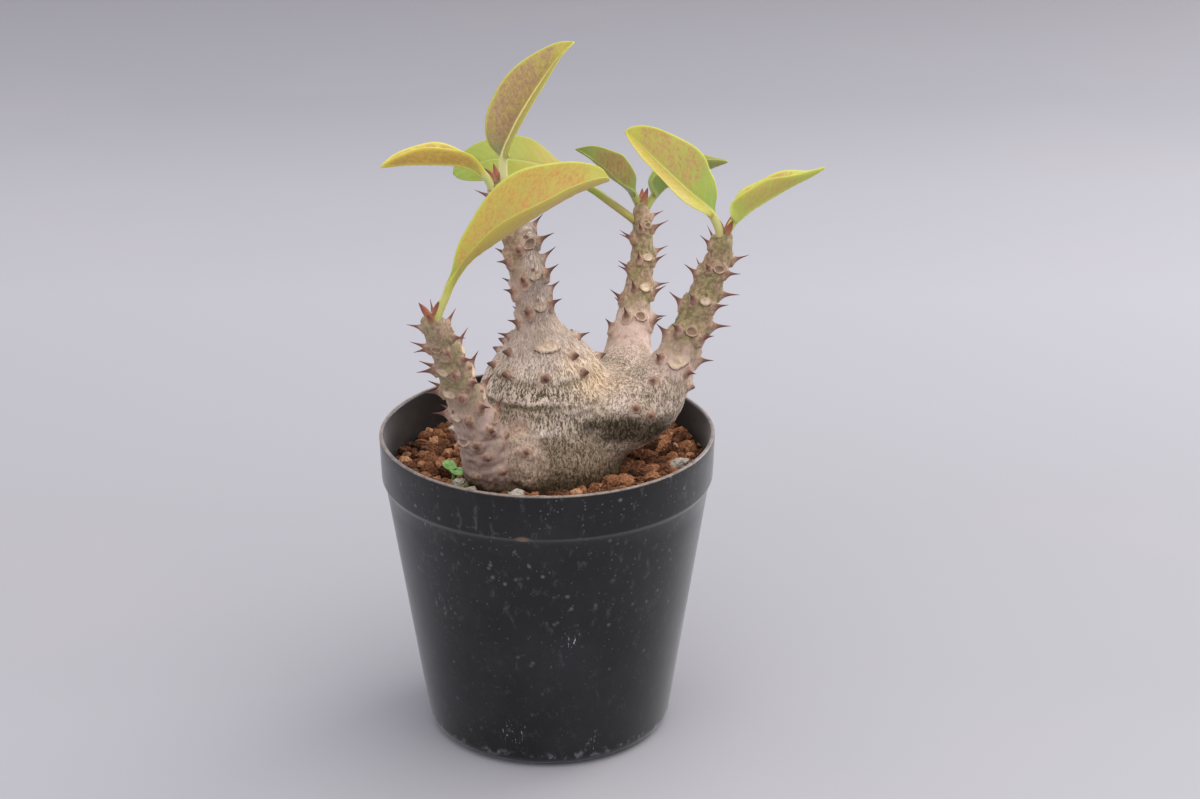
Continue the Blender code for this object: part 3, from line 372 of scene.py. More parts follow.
# Camera and light, in metres
CAMERA_PLACE = (0.01416, -0.70235, 0.37650)
CAMERA_PITCH = math.radians(90.0 - 21.943)
LENS = 85.0
SENSOR = 36.0
ROOM_COLOUR = (208, 208, 218)
ROOM_LIGHT = 1.15
# Soft lights: place, height that they aim at, size, power and colour
LIGHTS = {
    "window": ((0.40, -0.10, 1.15), 0.10, (1.4, 1.4), 12.0, (1.0, 0.97, 0.92)),
    "front_fill": ((-0.35, -0.95, 0.85), 0.10, (1.2, 1.2), 3.5, (0.97, 0.97, 1.0)),
    "right_rim": ((0.95, 0.70, 0.45), 0.07, (0.6, 0.7), 7.0, (1.0, 0.99, 0.97)),
    "left_rim": ((-0.95, 0.60, 0.40), 0.07, (0.5, 0.6), 1.6, (1.0, 0.99, 0.98)),
}


# Shared mesh work
def new_collection(name):
    """A collection in the scene."""
    collection = bpy.data.collections.new(name)
    bpy.context.scene.collection.children.link(collection)
    return collection


def link_object(name, data, collection):
    """A new object in a collection."""
    obj = bpy.data.objects.new(name, data)
    collection.objects.link(obj)
    return obj


def object_from_bmesh(name, bm, collection):
    """Put a finished bmesh into a new object, and free it."""
    bmesh.ops.recalc_face_normals(bm, faces=bm.faces)
    mesh = bpy.data.meshes.new(name)
    bm.to_mesh(mesh)
    bm.free()
    return link_object(name, mesh, collection)


def apply_modifiers(obj):
    """Replace an object's mesh by its evaluated one."""
    depsgraph = bpy.context.evaluated_depsgraph_get()
    mesh = bpy.data.meshes.new_from_object(obj.evaluated_get(depsgraph))
    obj.modifiers.clear()
    obj.data = mesh


def boolean_with(obj, operation, collection, solver):
    """Join or cut an object with all of a collection, then remove the collection's objects."""
    modifier = obj.modifiers.new("repeats", "BOOLEAN")
    modifier.operation = operation
    modifier.operand_type = "COLLECTION"
    modifier.collection = collection
    modifier.solver = solver
    apply_modifiers(obj)
    for tool in list(collection.objects):
        bpy.data.objects.remove(tool, do_unlink=True)


def remesh(obj, voxel, rounds):
    """Give an object an even skin of voxels, smoothed in some rounds."""
    skin = obj.modifiers.new("skin", "REMESH")
    skin.mode = "VOXEL"
    skin.voxel_size = voxel * MM
    smooth = obj.modifiers.new("smooth", "SMOOTH")
    smooth.factor = 0.5
    smooth.iterations = rounds
    apply_modifiers(obj)


def dress(obj, material, sharp=None):
    """Give an object one material and smooth shading, with edges beyond an angle in degrees kept sharp."""
    obj.data.shade_smooth()
    if sharp is not None:
        obj.data.set_sharp_from_angle(angle=math.radians(sharp))
    obj.data.materials.clear()
    obj.data.materials.append(material)


def point_vectors(mesh, key):
    """A vector of each point of a mesh."""
    vectors = np.zeros(len(mesh.vertices) * 3)
    mesh.vertices.foreach_get(key, vectors)
    return vectors.reshape(-1, 3)


def points_of(mesh):
    """A mesh's points in millimetres."""
    return point_vectors(mesh, "co") / MM


def put_points(mesh, points):
    """Move a mesh's points, given in millimetres."""
    mesh.vertices.foreach_set("co", (points * MM).ravel())
    mesh.update()


def paint(mesh, **layers):
    """Store a number or a vector for each point of a mesh, for each name."""
    for name, values in layers.items():
        values = np.asarray(values, dtype=np.float32)
        vector = values.ndim == 2
        layer = mesh.attributes.new(name, "FLOAT_VECTOR" if vector else "FLOAT", "POINT")
        layer.data.foreach_set("vector" if vector else "value", values.ravel())


def smoothstep(low, high, values):
    """0 below low, 1 above high, smooth between."""
    share = np.clip((values - low) / (high - low), 0.0, 1.0)
    return share * share * (3.0 - 2.0 * share)


def fade(low, high, values):
    """1 below low, 0 above high, smooth between."""
    return 1.0 - smoothstep(low, high, values)


def bell(values, width):
    """1 at 0, and falling off smoothly within about the width on both sides."""
    return np.exp(-(values / width) ** 2)


def unit(vector):
    """A vector of length 1."""
    return Vector(vector).normalized()


def noise_at(points, scale, seed=0.0):
    """Smooth noise from -1 to 1 at points in millimetres, with features of about scale millimetres."""
    shift = Vector((seed * 7.31, seed * 3.17, seed * 5.77))
    return np.array([noise.noise(Vector(point) / scale + shift) for point in points])


def lumps_at(points, *layers):
    """Smooth noise of several sizes added up, each with its height, size and seed."""
    return sum(height * noise_at(points, size, seed) for height, size, seed in layers)


def tree_of(mesh):
    """A search tree of a mesh's faces."""
    return BVHTree.FromPolygons([v.co for v in mesh.vertices], [p.vertices for p in mesh.polygons])


def smooth_route(rows, count):
    """Rows evenly spread along a smooth curve through the given rows (Catmull-Rom)."""
    rows = np.array(rows, dtype=float)
    ends = np.vstack([2 * rows[0] - rows[1], rows, 2 * rows[-1] - rows[-2]])
    fine = []
    for i in range(len(rows) - 1):
        p0, p1, p2, p3 = ends[i:i + 4]
        for t in np.linspace(0.0, 1.0, 24, endpoint=False):
            fine.append(0.5 * (2 * p1 + (p2 - p0) * t + (2 * p0 - 5 * p1 + 4 * p2 - p3) * t ** 2
                               + (3 * p1 - p0 - 3 * p2 + p3) * t ** 3))
    fine.append(rows[-1])
    fine = np.array(fine)
    steps = np.linalg.norm(np.diff(fine[:, :3], axis=0), axis=1)
    reach = np.concatenate([[0.0], np.cumsum(steps)])
    wanted = np.linspace(0.0, reach[-1], count)
    columns = [np.interp(wanted, reach, fine[:, i]) for i in range(fine.shape[1])]
    return np.stack(columns, axis=1)


def route_length(route):
    """Length of a sampled route."""
    return float(np.linalg.norm(np.diff(route[:, :3], axis=0), axis=1).sum())


def tangents(points):
    """Unit directions along a sampled route."""
    along = np.gradient(points[:, :3], axis=0)
    return along / np.linalg.norm(along, axis=1)[:, None]


def join_loops(bm, loops):
    """Faces between closed loops of points, each with the next."""
    count = len(loops[0])
    for lower, upper in zip(loops, loops[1:]):
        for i in range(count):
            j = (i + 1) % count
            bm.faces.new((lower[i], lower[j], upper[j], upper[i]))


def add_rings(bm, rings):
    """Join closed rings of points, in millimetres, into a tube with flat ends."""
    loops = [[bm.verts.new(Vector(point) * MM) for point in ring] for ring in rings]
    join_loops(bm, loops)
    bm.faces.new(list(reversed(loops[0])))
    bm.faces.new(loops[-1])


def stem_rings(route, sides):
    """Round rings square to a route of x, y, z, radius."""
    rings = []
    turn = np.linspace(0.0, 2 * math.pi, sides, endpoint=False)
    for row, along in zip(route, tangents(route)):
        side = np.cross(along, DEPTH_AXIS)
        side /= np.linalg.norm(side)
        other = np.cross(along, side)
        rings.append([row[:3] + row[3] * (math.cos(a) * side + math.sin(a) * other) for a in turn])
    return rings


def bulb_rings(sides):
    """Oval level rings of the swollen base."""
    slices = smooth_route([(x, y, z, half_width, half_depth) for z, x, y, half_width, half_depth in BULB], 30)
    turn = np.linspace(0.0, 2 * math.pi, sides, endpoint=False)
    return [[(x + half_width * math.cos(a), y + half_depth * math.sin(a), z) for a in turn]
            for x, y, z, half_width, half_depth in slices]


# Making the caudex
def make_body(collection):
    """The caudex without its thorns: bulb and branches grown together and smoothed."""
    bm = bmesh.new()
    add_rings(bm, bulb_rings(64))
    for rows in STEMS.values():
        add_rings(bm, stem_rings(smooth_route(rows, 26), 32))
    obj = object_from_bmesh("caudex_skin", bm, collection)
    remesh(obj, VOXEL, BODY_SMOOTHING)
    return obj


def refine_body(obj):
    """Give the body's skin a fine even mesh."""
    rounder = obj.modifiers.new("rounder", "SUBSURF")
    rounder.levels = 1
    rounder.render_levels = 1
    remesh(obj, FINE_VOXEL, FINE_SMOOTHING)


def bulb_axis(z):
    """Middle and half widths of the bulb at heights."""
    heights = [s[0] for s in BULB]
    return [np.interp(z, heights, [s[i] for s in BULB]) for i in (1, 2, 3, 4)]


def stem_frames(points, rows):
    """For each point: its distance from a branch's skin, share along the branch, and place in its grain."""
    route = smooth_route(rows, 90)
    along = tangents(route)
    gaps = points[:, None, :] - route[None, :, :3]
    away = np.linalg.norm(gaps, axis=2) - route[None, :, 3]
    closest = away.argmin(axis=1)
    each = np.arange(len(points))
    side = np.cross(along, DEPTH_AXIS)
    side /= np.linalg.norm(side, axis=1)[:, None]
    other = np.cross(along, side)
    gap = gaps[each, closest]
    share = closest / (len(route) - 1.0)
    reach = share * route_length(route) + (gap * along[closest]).sum(axis=1)
    flow = [(gap * side[closest]).sum(axis=1), (gap * other[closest]).sum(axis=1), reach]
    return away[each, closest], share, np.column_stack(flow)


def skin_frames(points):
    """For each point of the skin: how much it belongs to the bulb, its branch, and its place on both."""
    x, y, half_width, half_depth = bulb_axis(points[:, 2])
    oval = np.hypot((points[:, 0] - x) / half_width, (points[:, 1] - y) / half_depth)
    from_bulb = (oval - 1.0) * 0.5 * (half_width + half_depth)
    nearest = np.full(len(points), 1e9)
    stem = np.zeros(len(points), dtype=int)
    share = np.zeros(len(points))
    flow = np.zeros((len(points), 3))
    for index, rows in enumerate(STEMS.values()):
        distance, along, place = stem_frames(points, rows)
        better = distance < nearest
        nearest[better] = distance[better]
        stem[better] = index
        share[better] = along[better]
        flow[better] = place[better]
    bulb = smoothstep(-1.6, 1.6, nearest - from_bulb)
    angle = np.arctan2(points[:, 1] - y, points[:, 0] - x)
    rise = points[:, 2] + 0.5 * (GRAIN_WIDEST - np.minimum(half_width, GRAIN_WIDEST))
    bulb_flow = np.column_stack([GRAIN_TUBE * np.cos(angle), GRAIN_TUBE * np.sin(angle), rise])
    return dict(bulb=bulb, stem=stem, share=share, flow=flow, bulb_flow=bulb_flow, angle=angle)


def ridge_relief(points, frames):
    """How far the shelf-like wrinkles stand out of the bulb, their crests for a painted highlight and the
    band below them for painted shade.
    """
    angle = frames["angle"]
    relief, crest, shade = np.zeros((3, len(points)))
    ring = np.column_stack([np.cos(angle), np.sin(angle), np.zeros(len(points))])
    for index, (level, height, spread, heading, reach) in enumerate(RIDGES):
        wander = lumps_at(ring, (0.8, 0.55, index + 3), (0.35, 0.16, index + 9))
        turn = (np.degrees(angle) - heading + 180.0) % 360.0 - 180.0
        strength = RIDGE_ELSEWHERE + (1.0 - RIDGE_ELSEWHERE) * np.exp(-(turn / reach) ** 4)
        strength = np.clip(strength * (0.9 + 0.5 * noise_at(ring, 0.22, index + 21)), 0.0, 1.2)
        rise = points[:, 2] - level - wander
        relief += height * strength * np.where(rise > 0.0, bell(rise, spread), bell(rise, 0.75))
        relief -= 0.30 * height * strength * bell(rise + 1.5, 0.9)
        crest = np.maximum(crest, strength * height * bell(rise - 0.25, 0.5))
        shade = np.maximum(shade, strength * height * bell(rise + 1.1, 0.75))
    return relief * frames["bulb"], crest * frames["bulb"], shade * frames["bulb"]


def skin_point(tree, inside, direction):
    """The point of the skin that a ray from inside the body leaves by."""
    hit = tree.ray_cast(Vector(inside) * MM, unit(direction))
    return None if hit[0] is None else np.array(hit[0]) / MM


def outward(axis, angle):
    """The direction square to an axis at an angle round it."""
    side = axis.cross(Vector(DEPTH_AXIS)).normalized()
    return math.cos(angle) * side + math.sin(angle) * axis.cross(side)


def thorn_pair(rng, route, index, axis, scar, first_angle):
    """The two thorns beside a leaf scar."""
    pair = []
    for half in (-1.0, 1.0):
        out = outward(axis, first_angle + scar * LEAF_TURN + half * PAIR_ANGLE)
        grown = 0.72 + 0.28 * min(1.0, scar / 4.0)
        size = THORN_LENGTH * grown * rng.uniform(0.85, 1.12)
        lift = rng.uniform(0.12, 0.42)
        base = min(THORN_BASE, 0.36 * route[index][3])
        pair.append(dict(inside=route[index][:3], ray=out, direction=out + lift * axis, upward=axis,
                         length=size, base=base, kind="thorn"))
    return pair


def bud_scales(route, top, first_angle):
    """Three bud scales round a branch's tip."""
    tip = Vector(route[-1][:3])
    scales = []
    for i in range(3):
        out = outward(top, first_angle + 0.7 + i * 2 * math.pi / 3)
        scales.append(dict(foot=np.array(tip - top * 0.6 + out * 0.9), direction=top + out * 0.35, upward=out,
                           length=THORN_LENGTH * 0.95, base=0.9, kind="bud"))
    return scales


def branch_thorns(rng, rows, begin, first_angle):
    """Pairs of thorns beside leaf scars that wind up a branch, the scars, and bud scales round its tip."""
    thorns = []
    pads = []
    route = smooth_route(rows, 160)
    along = tangents(route)
    length = route_length(route)
    scars = int((1.0 - begin) * length / SCAR_SPACING)
    for scar in range(scars):
        share = begin + (1.0 - begin) * (scar + 0.5) / (scars + 0.8)
        index = int(share * (len(route) - 1))
        axis = Vector(along[index])
        thorns += thorn_pair(rng, route, index, axis, scar, first_angle)
        out = outward(axis, first_angle + scar * LEAF_TURN)
        above = min(index + int(0.5 / length * len(route)), len(route) - 1)
        size = min(1.5, 0.35 * route[index][3]) * rng.uniform(0.85, 1.08)
        pads.append(dict(inside=route[above][:3], ray=out, up=axis, size=size, wide=rng.uniform(1.1, 1.3),
                         pit=0.8 if rng.random() < 0.25 else 0.0, dot=rng.random()))
    return thorns + bud_scales(route, Vector(along[-1]), first_angle), pads


def bulb_stubs(tree, rng):
    """Worn thorn stubs in rows on the bulb, and single blunt ones low on the branches."""
    thorns = []
    for z, first, step, count, length in BULB_STUB_ROWS:
        for i in range(count):
            angle = math.radians(first + i * step + rng.uniform(-STUB_TURN, STUB_TURN))
            out = Vector((math.cos(angle), math.sin(angle), STUB_LIFT))
            inside = (-1.0, -1.0, z + rng.uniform(-STUB_RISE, STUB_RISE))
            foot = skin_point(tree, inside, out)
            if foot is not None and math.hypot(foot[0], foot[1]) < BULB_REACH:
                thorns.append(dict(inside=inside, ray=out, direction=out, upward=UP, length=length,
                                   base=THORN_BASE, kind="stub" if length < LONG_STUB else "thorn"))
    for point in LOW_STUBS:
        nearest, normal = tree.find_nearest(Vector(point) * MM)[:2]
        thorns.append(dict(inside=nearest / MM - normal * 2.0, ray=normal, direction=normal, upward=UP,
                           length=NUB_LENGTH, base=THORN_BASE, kind="nub"))
    return thorns


def large_pads():
    """The large scars on the bulb and low on the right branch."""
    return [dict(inside=inside, ray=unit(ray), up=UP, size=size, wide=wide, pit=0.0, dot=0.0)
            for inside, ray, size, wide in LARGE_SCARS]


def frame_on_skin(points, foot, ray, up):
    """Points as seen from a foot on the skin: across, along the stem and outward, in millimetres."""
    out = np.array(unit(ray))
    upward = np.array(up, dtype=float)
    upward -= (upward @ out) * out
    upward /= np.linalg.norm(upward)
    gap = points - foot
    return gap @ np.cross(upward, out), gap @ upward, gap @ out


def mound_under(points, thorn, foot):
    """A smooth mound of the skin round a thorn's foot, at most 1."""
    _, across, below, above = MOUNDS[thorn["kind"]]
    x, y, out = frame_on_skin(points, foot, thorn["ray"], thorn["upward"])
    shrink = thorn["base"] / THORN_BASE
    reach = np.where(y > 0.0, above, below) * shrink
    return np.exp(-(x / (across * shrink)) ** 2 - (y / reach) ** 2 - (out / 3.0) ** 2)


def pad_place(points, pad, foot):
    """Points in a scar's own frame, in shares of its size: across, up, and distance from its middle."""
    x, y, out = frame_on_skin(points, foot, pad["ray"], pad["up"])
    x = x / (pad["size"] * pad["wide"])
    y = y / pad["size"]
    return np.column_stack([x, y, np.sqrt(x * x + y * y + 0.5 * (out / pad["size"]) ** 2)])


def raise_skin(mesh, thorns, pads, tree):
    """Raise wrinkles, mounds, scars and knobs along the normals; gives the crests' painted highlight, the
    painted shade below them and mounds.
    """
    points = points_of(mesh)
    normals = point_vectors(mesh, "normal")
    frames = skin_frames(points)
    bulb = frames["bulb"]
    relief, crest, shade = ridge_relief(points, frames)
    lumps = lumps_at(points, (0.30, 4.2, 1), (0.16, 1.7, 2))
    knobs = lumps_at(points, (0.36, 3.0, 7), (0.24, 1.3, 8))
    strands = noise_at(frames["bulb_flow"] * (1.0, 1.0, 0.30), 0.62, 4)
    relief += lumps * bulb + knobs * (1.0 - bulb) + 0.12 * strands * bulb
    gnarled = (1.0 - bulb) * fade(*GNARL_FADE, points[:, 2]) * (points[:, 0] < GNARL_RIGHT)
    relief += gnarled * (0.55 * noise_at(points, 2.3, 12) - 0.15)
    groove = points[:, 2] - GROOVE_LEVEL - 0.5 * noise_at(points, 4.0, 13)
    relief -= GROOVE_DEPTH * gnarled * bell(groove, 0.45) * (points[:, 0] < GROOVE_RIGHT)
    mounds = np.zeros(len(points))
    raised = np.zeros(len(points))
    for thorn in thorns:
        if thorn["kind"] == "bud":
            continue
        mound = mound_under(points, thorn, skin_point(tree, thorn["inside"], thorn["ray"]))
        mounds = np.maximum(mounds, mound)
        raised = np.maximum(raised, MOUNDS[thorn["kind"]][0] * mound)
    irregular = 0.20 * noise_at(points, 1.3, 14)
    for pad in pads:
        away = pad_place(points, pad, skin_point(tree, pad["inside"], pad["ray"]))[:, 2] + irregular
        cushion = 0.62 * fade(0.95, 1.55, away)
        rim = 0.20 * bell(away - 0.95, 0.24)
        dish = (0.22 + 0.5 * pad["pit"]) * fade(0.2, 0.85, away)
        raised = np.maximum(raised, cushion) + rim - dish
    put_points(mesh, points + normals * (relief + raised)[:, None])
    return np.column_stack([crest, shade, mounds])


def thorn_mesh(thorn, rng):
    """A thorn along +Z with its root below the origin: a broad foot that runs down, and a bent needle."""
    bm = bmesh.new()
    kind = thorn["kind"]
    length = thorn["length"]
    base = thorn["base"]
    bend = 0.10 * rng.uniform(0.6, 1.3)
    lean = rng.uniform(-0.05, 0.05)
    rings = [(-THORN_ROOT, base)] + [(share * length, base * wide) for share, wide in PROFILES[kind]]
    turn = [2 * math.pi * (i + 0.5) / THORN_SIDES for i in range(THORN_SIDES)]
    loops = []
    for z, radius in rings:
        share = max(z, 0.0) / length
        foot = (1.0 - share) ** 3
        tall = radius * (1.0 + (FOOT_STRETCH[kind] - 1.0) * foot)
        drop = FOOT_DROP[kind] * base * foot
        middle = Vector((lean * share * length, bend * share * share * length - drop, z))
        loops.append([bm.verts.new((middle + Vector((radius * math.cos(a), tall * math.sin(a), 0.0))) * MM)
                      for a in turn])
    tip = bm.verts.new(Vector((lean * length, bend * length, length)) * MM)
    join_loops(bm, loops)
    for i in range(THORN_SIDES):
        bm.faces.new((loops[-1][i], loops[-1][(i + 1) % THORN_SIDES], tip))
    bm.faces.new(list(reversed(loops[0])))
    return bm


def add_thorn(collection, thorn, rng):
    """Place one thorn with its foot on the skin, bent towards upward."""
    direction = unit(thorn["direction"])
    upward = Vector(thorn["upward"])
    bend = (upward - upward.dot(direction) * direction).normalized()
    turned = Matrix((bend.cross(direction), bend, direction)).transposed().to_4x4()
    obj = object_from_bmesh("thorn", thorn_mesh(thorn, rng), collection)
    obj.matrix_world = Matrix.Translation(Vector(thorn["foot"]) * MM) @ turned


def paint_thorns(mesh, points, thorns):
    """Mark how far along its thorn each point lies, and whether that is a bud scale."""
    along_thorn = np.zeros(len(points))
    bud = np.zeros(len(points))
    for thorn in thorns:
        kind = thorn["kind"]
        x, y, height = frame_on_skin(points, thorn["foot"], thorn["direction"], thorn["upward"])
        share = height / thorn["length"]
        foot = np.clip(1.0 - share, 0.0, 1.0) ** 3
        width = np.interp(share, *zip(*PROFILES[kind]))
        y = (y + FOOT_DROP[kind] * thorn["base"] * foot) / (1.0 + (FOOT_STRETCH[kind] - 1.0) * foot)
        room = thorn["base"] * width + 0.15 * thorn["length"] * share ** 2 + 0.12
        values = np.clip(share, 0.02, 1.0) * DARK_TIPS[kind]
        better = (np.hypot(x, y) < room) & (share > 0.0) & (share < 1.2) & (values > along_thorn)
        along_thorn[better] = values[better]
        bud[better] = 1.0 if kind == "bud" else 0.0
    paint(mesh, thorn=along_thorn, bud=bud)


def paint_pads(mesh, points, pads):
    """Store each point's place in its nearest leaf scar's own frame, and whether that scar is a pit."""
    space = np.full((len(points), 3), 9.0)
    pit, dot = np.zeros((2, len(points)))
    for pad in pads:
        place = pad_place(points, pad, pad["foot"])
        closer = (place[:, 2] < space[:, 2]) & (place[:, 2] < 3.0)
        space[closer] = place[closer]
        pit[closer] = pad["pit"]
        dot[closer] = pad["dot"]
    paint(mesh, pad=space, pit=pit, dot=dot)


def paint_bark(mesh, points):
    """Store the grain's direction, where the bark is rough or grey, and patches of mossy colour, painted warm
    light, painted highlight and painted shade.
    """
    frames = skin_frames(points)
    bulb = frames["bulb"]
    rough, tip = np.zeros((2, len(points)))
    on = {name: frames["stem"] == index for index, name in enumerate(STEMS)}
    for name, here in on.items():
        share = frames["share"][here]
        start, end, most = ROUGH_BARK[name]
        rough[here] = most * fade(start, end, share)
        tip[here] = 0.0 if name == "front_lobe" else smoothstep(0.30, 0.95, share)
    paint(mesh, rough=np.maximum(rough, bulb), bulb=bulb, tip=tip * (1.0 - bulb), flow=frames["flow"],
          bulb_flow=frames["bulb_flow"], lobe=on["front_lobe"] & (bulb < 0.5),
          grey=on["front"] * (1.0 - bulb), height=points[:, 2])
    for name, patches in BARK_COLOUR_AND_LIGHT_PATCHES.items():
        amount = np.zeros(len(points))
        for middle, reach, strength in patches:
            away = np.linalg.norm((points - middle) / reach, axis=1)
            amount = np.maximum(amount, strength * bell(away, 1.0))
        paint(mesh, **{name: amount})


def nearest_values(places, values, wanted):
    """Values of the nearest of some places, for each wanted point."""
    tree = KDTree(len(places))
    for i, place in enumerate(places):
        tree.insert(place, i)
    tree.balance()
    return np.array([values[tree.find(point)[1]] for point in wanted])


def make_caudex(collection, tools):
    """The caudex with its thorns, joined into one skin."""
    body = make_body(collection)
    plain = body.data.copy()
    tree = tree_of(plain)
    rng = random.Random(THORN_SEED)
    thorns = []
    pads = large_pads()
    for name, (begin, first_angle) in THORN_RUNS.items():
        more_thorns, more_pads = branch_thorns(rng, STEMS[name], begin, first_angle)
        thorns += more_thorns
        pads += more_pads
    thorns += bulb_stubs(tree, rng)
    refine_body(body)
    marks = raise_skin(body.data, thorns, pads, tree)
    fine_tree = tree_of(body.data)
    skin = points_of(body.data)
    for thorn in thorns:
        if thorn["kind"] != "bud":
            thorn["foot"] = skin_point(fine_tree, thorn["inside"], thorn["ray"])
            thorn["foot"] -= THORN_SINK * np.array(unit(thorn["direction"]))
        add_thorn(tools, thorn, rng)
    for pad in pads:
        pad["foot"] = skin_point(fine_tree, pad["inside"], pad["ray"])
    boolean_with(body, "UNION", tools, "MANIFOLD")
    points = points_of(body.data)
    crest, shade, mound = nearest_values(skin, marks, points).T
    paint(body.data, crest=crest, shade=shade, mound=mound)
    paint_bark(body.data, points)
    paint_thorns(body.data, points, thorns)
    paint_pads(body.data, points, pads)
    dress(body, bark_look())
    return body, plain




# Making the leaves
def leaf_outline(leaf, u):
    """Half width of the blade at u, as a share of its widest, for u from 0 at its base to 1 at its tip."""
    power = math.log(0.5) / math.log(leaf["widest"])
    rounding = leaf["ends"][0] + (leaf["ends"][1] - leaf["ends"][0]) * u
    return math.sin(math.pi * min(max(u, 0.0), 1.0) ** power) ** rounding if 0.0 < u < 1.0 else 0.0


def side_veins(u, v, x, blade_length):
    """The count of side veins up to each point of a row of a leaf, and how much each point lies on one."""
    spacing = blade_length / VEINS
    count = (u * blade_length - 0.62 * x - 0.012 * x * x) / spacing + np.where(v < 0.0, 0.5, 0.0)
    away = np.abs(count - np.round(count)) * spacing
    return count, bell(away, 0.45) * fade(0.72, 0.95, np.abs(v)) * smoothstep(0.0, 0.08, u)


def leaf_depths(v, x, blade, toward_tip, vein):
    """How far both faces of a row of a leaf stand off its middle sheet."""
    round_part = PETIOLE_RADIUS * np.sqrt(np.maximum(1.0 - v * v, 0.05))
    sheet = EDGE_THICKNESS + (BLADE_THICKNESS - EDGE_THICKNESS) * (1.0 - np.abs(v) ** 5)
    thick = (1.0 - blade) * round_part + blade * sheet / 2
    rib = MIDRIB * bell(x, 0.85) * (1.0 - 0.8 * toward_tip)
    groove = 0.15 * bell(x, 0.55) * (1.0 - 0.7 * toward_tip)
    puff = 0.10 * (1.0 - vein) * (1.0 - np.abs(v) ** 3) * np.minimum(x, 1.0)
    return thick + blade * (puff - groove), thick + blade * (rib + 0.10 * vein - puff)


def leaf_row(leaf, point, direction, share, v, blade_length):
    """Points of both faces of a leaf in one row across it, and their places on the blade."""
    u = (share - leaf["blade_from"]) / (1.0 - leaf["blade_from"])
    blade = float(smoothstep(0.0, 0.22, u))
    toward_tip = max(u, 0.0)
    up = (1.0 - toward_tip) * np.array(leaf["up"][0]) + toward_tip * np.array(leaf["up"][1])
    side = np.cross(direction, up)
    side /= np.linalg.norm(side)
    normal = np.cross(side, direction)
    petiole = PETIOLE_RADIUS * (1.0 - 0.25 * share) * (1.0 - toward_tip)
    half = math.hypot(leaf["half_width"] * leaf_outline(leaf, u), petiole + TIP_HALF_WIDTH)
    folded = math.radians(leaf["fold"]) * float(smoothstep(FOLD_START, FOLD_END, u))
    angle = folded + math.radians(leaf["bow"]) * blade * np.abs(v)
    ripple = leaf["wave"] * blade * v * v * np.sin(2 * math.pi * (2.3 * toward_tip + 0.2 * v))
    x = half * np.abs(v)
    count, vein = side_veins(u, v, x, blade_length)
    above, below = leaf_depths(v, x, blade, toward_tip, vein)
    flat = point + (half * v * np.cos(angle))[:, None] * side
    flat = flat + (x * np.sin(angle) + ripple)[:, None] * normal
    places = [np.full(len(v), u * blade_length), half * v, count, np.full(len(v), u), x, half - x]
    return flat + above[:, None] * normal, flat - below[:, None] * normal, np.column_stack(places)


def leaf_rows(leaf, stations, across):
    """Points of both faces of a leaf, and for each point its place on the blade."""
    route = smooth_route(leaf["route"], stations)
    blade_length = route_length(route) * (1.0 - leaf["blade_from"])
    shares = [i / (stations - 1) for i in range(stations)]
    rows = [leaf_row(leaf, *row, across, blade_length) for row in zip(route[:, :3], tangents(route), shares)]
    upper, lower, places = zip(*rows)
    return upper, lower, np.array(places)


def add_sheet(bm, upper, lower):
    """A closed sheet between two grids of points."""
    top = [[bm.verts.new(Vector(point) * MM) for point in row] for row in upper]
    bottom = [[bm.verts.new(Vector(point) * MM) for point in row] for row in lower]
    last = len(top[0]) - 1
    for i in range(len(top) - 1):
        for j in range(last):
            bm.faces.new((top[i][j], top[i][j + 1], top[i + 1][j + 1], top[i + 1][j]))
            bm.faces.new((bottom[i][j], bottom[i + 1][j], bottom[i + 1][j + 1], bottom[i][j + 1]))
        for j in (0, last):
            bm.faces.new((top[i][j], top[i + 1][j], bottom[i + 1][j], bottom[i][j]))
    for i in (0, len(top) - 1):
        for j in range(last):
            bm.faces.new((top[i][j], top[i][j + 1], bottom[i][j + 1], bottom[i][j]))


def make_leaf(name, leaf, look, collection):
    """One leaf: round petiole, then a blade folded up along its midrib, with raised side veins."""
    bm = bmesh.new()
    across = np.linspace(-1.0, 1.0, LEAF_ACROSS)
    across = 0.55 * across + 0.45 * across * np.abs(across)
    upper, lower, places = leaf_rows(leaf, LEAF_STATIONS, across)
    add_sheet(bm, upper, lower)
    obj = object_from_bmesh(name + "_blade", bm, collection)
    flat = places.reshape(-1, places.shape[2])
    both = np.vstack([flat, flat])
    start, end = look["blotch"][:2]
    u = both[:, 3]
    region = smoothstep(start - 0.1, start + 0.1, u) * fade(end - 0.1, end + 0.12, u)
    paint(obj.data, blade=both[:, :3], u=u, from_rib=both[:, 4], from_edge=both[:, 5],
          under=np.repeat((0.0, 1.0), len(flat)), region=region)
    dress(obj, leaf_look(name, look, leaf))
    return obj


# Making the pot
def wall_radius(z):
    """Outer radius of the pot at a height."""
    if z > POT_HEIGHT - BAND_HEIGHT:
        return RIM_RADIUS - 0.4 * (POT_HEIGHT - z) / BAND_HEIGHT
    top = RIM_RADIUS - 0.4 - BAND_STEP
    share = (POT_HEIGHT - BAND_HEIGHT - z) / (POT_HEIGHT - BAND_HEIGHT - BASE_CORNER)
    return top - (top - BASE_RADIUS) * min(max(share, 0.0), 1.0)


def inner_radius(z):
    """Inner radius of the pot at a height above its floor."""
    return wall_radius(z) - WALL


def turned(name, profile, collection, steps):
    """A body turned from a profile that runs from axis to axis."""
    bm = bmesh.new()
    verts = [bm.verts.new((r * MM, 0.0, z * MM)) for r, z in profile]
    for first, second in zip(verts, verts[1:]):
        bm.edges.new((first, second))
    obj = object_from_bmesh(name, bm, collection)
    screw = obj.modifiers.new("turned", "SCREW")
    screw.axis = "Z"
    screw.steps = steps
    screw.render_steps = steps
    screw.use_merge_vertices = True
    screw.merge_threshold = MERGE
    apply_modifiers(obj)
    return obj


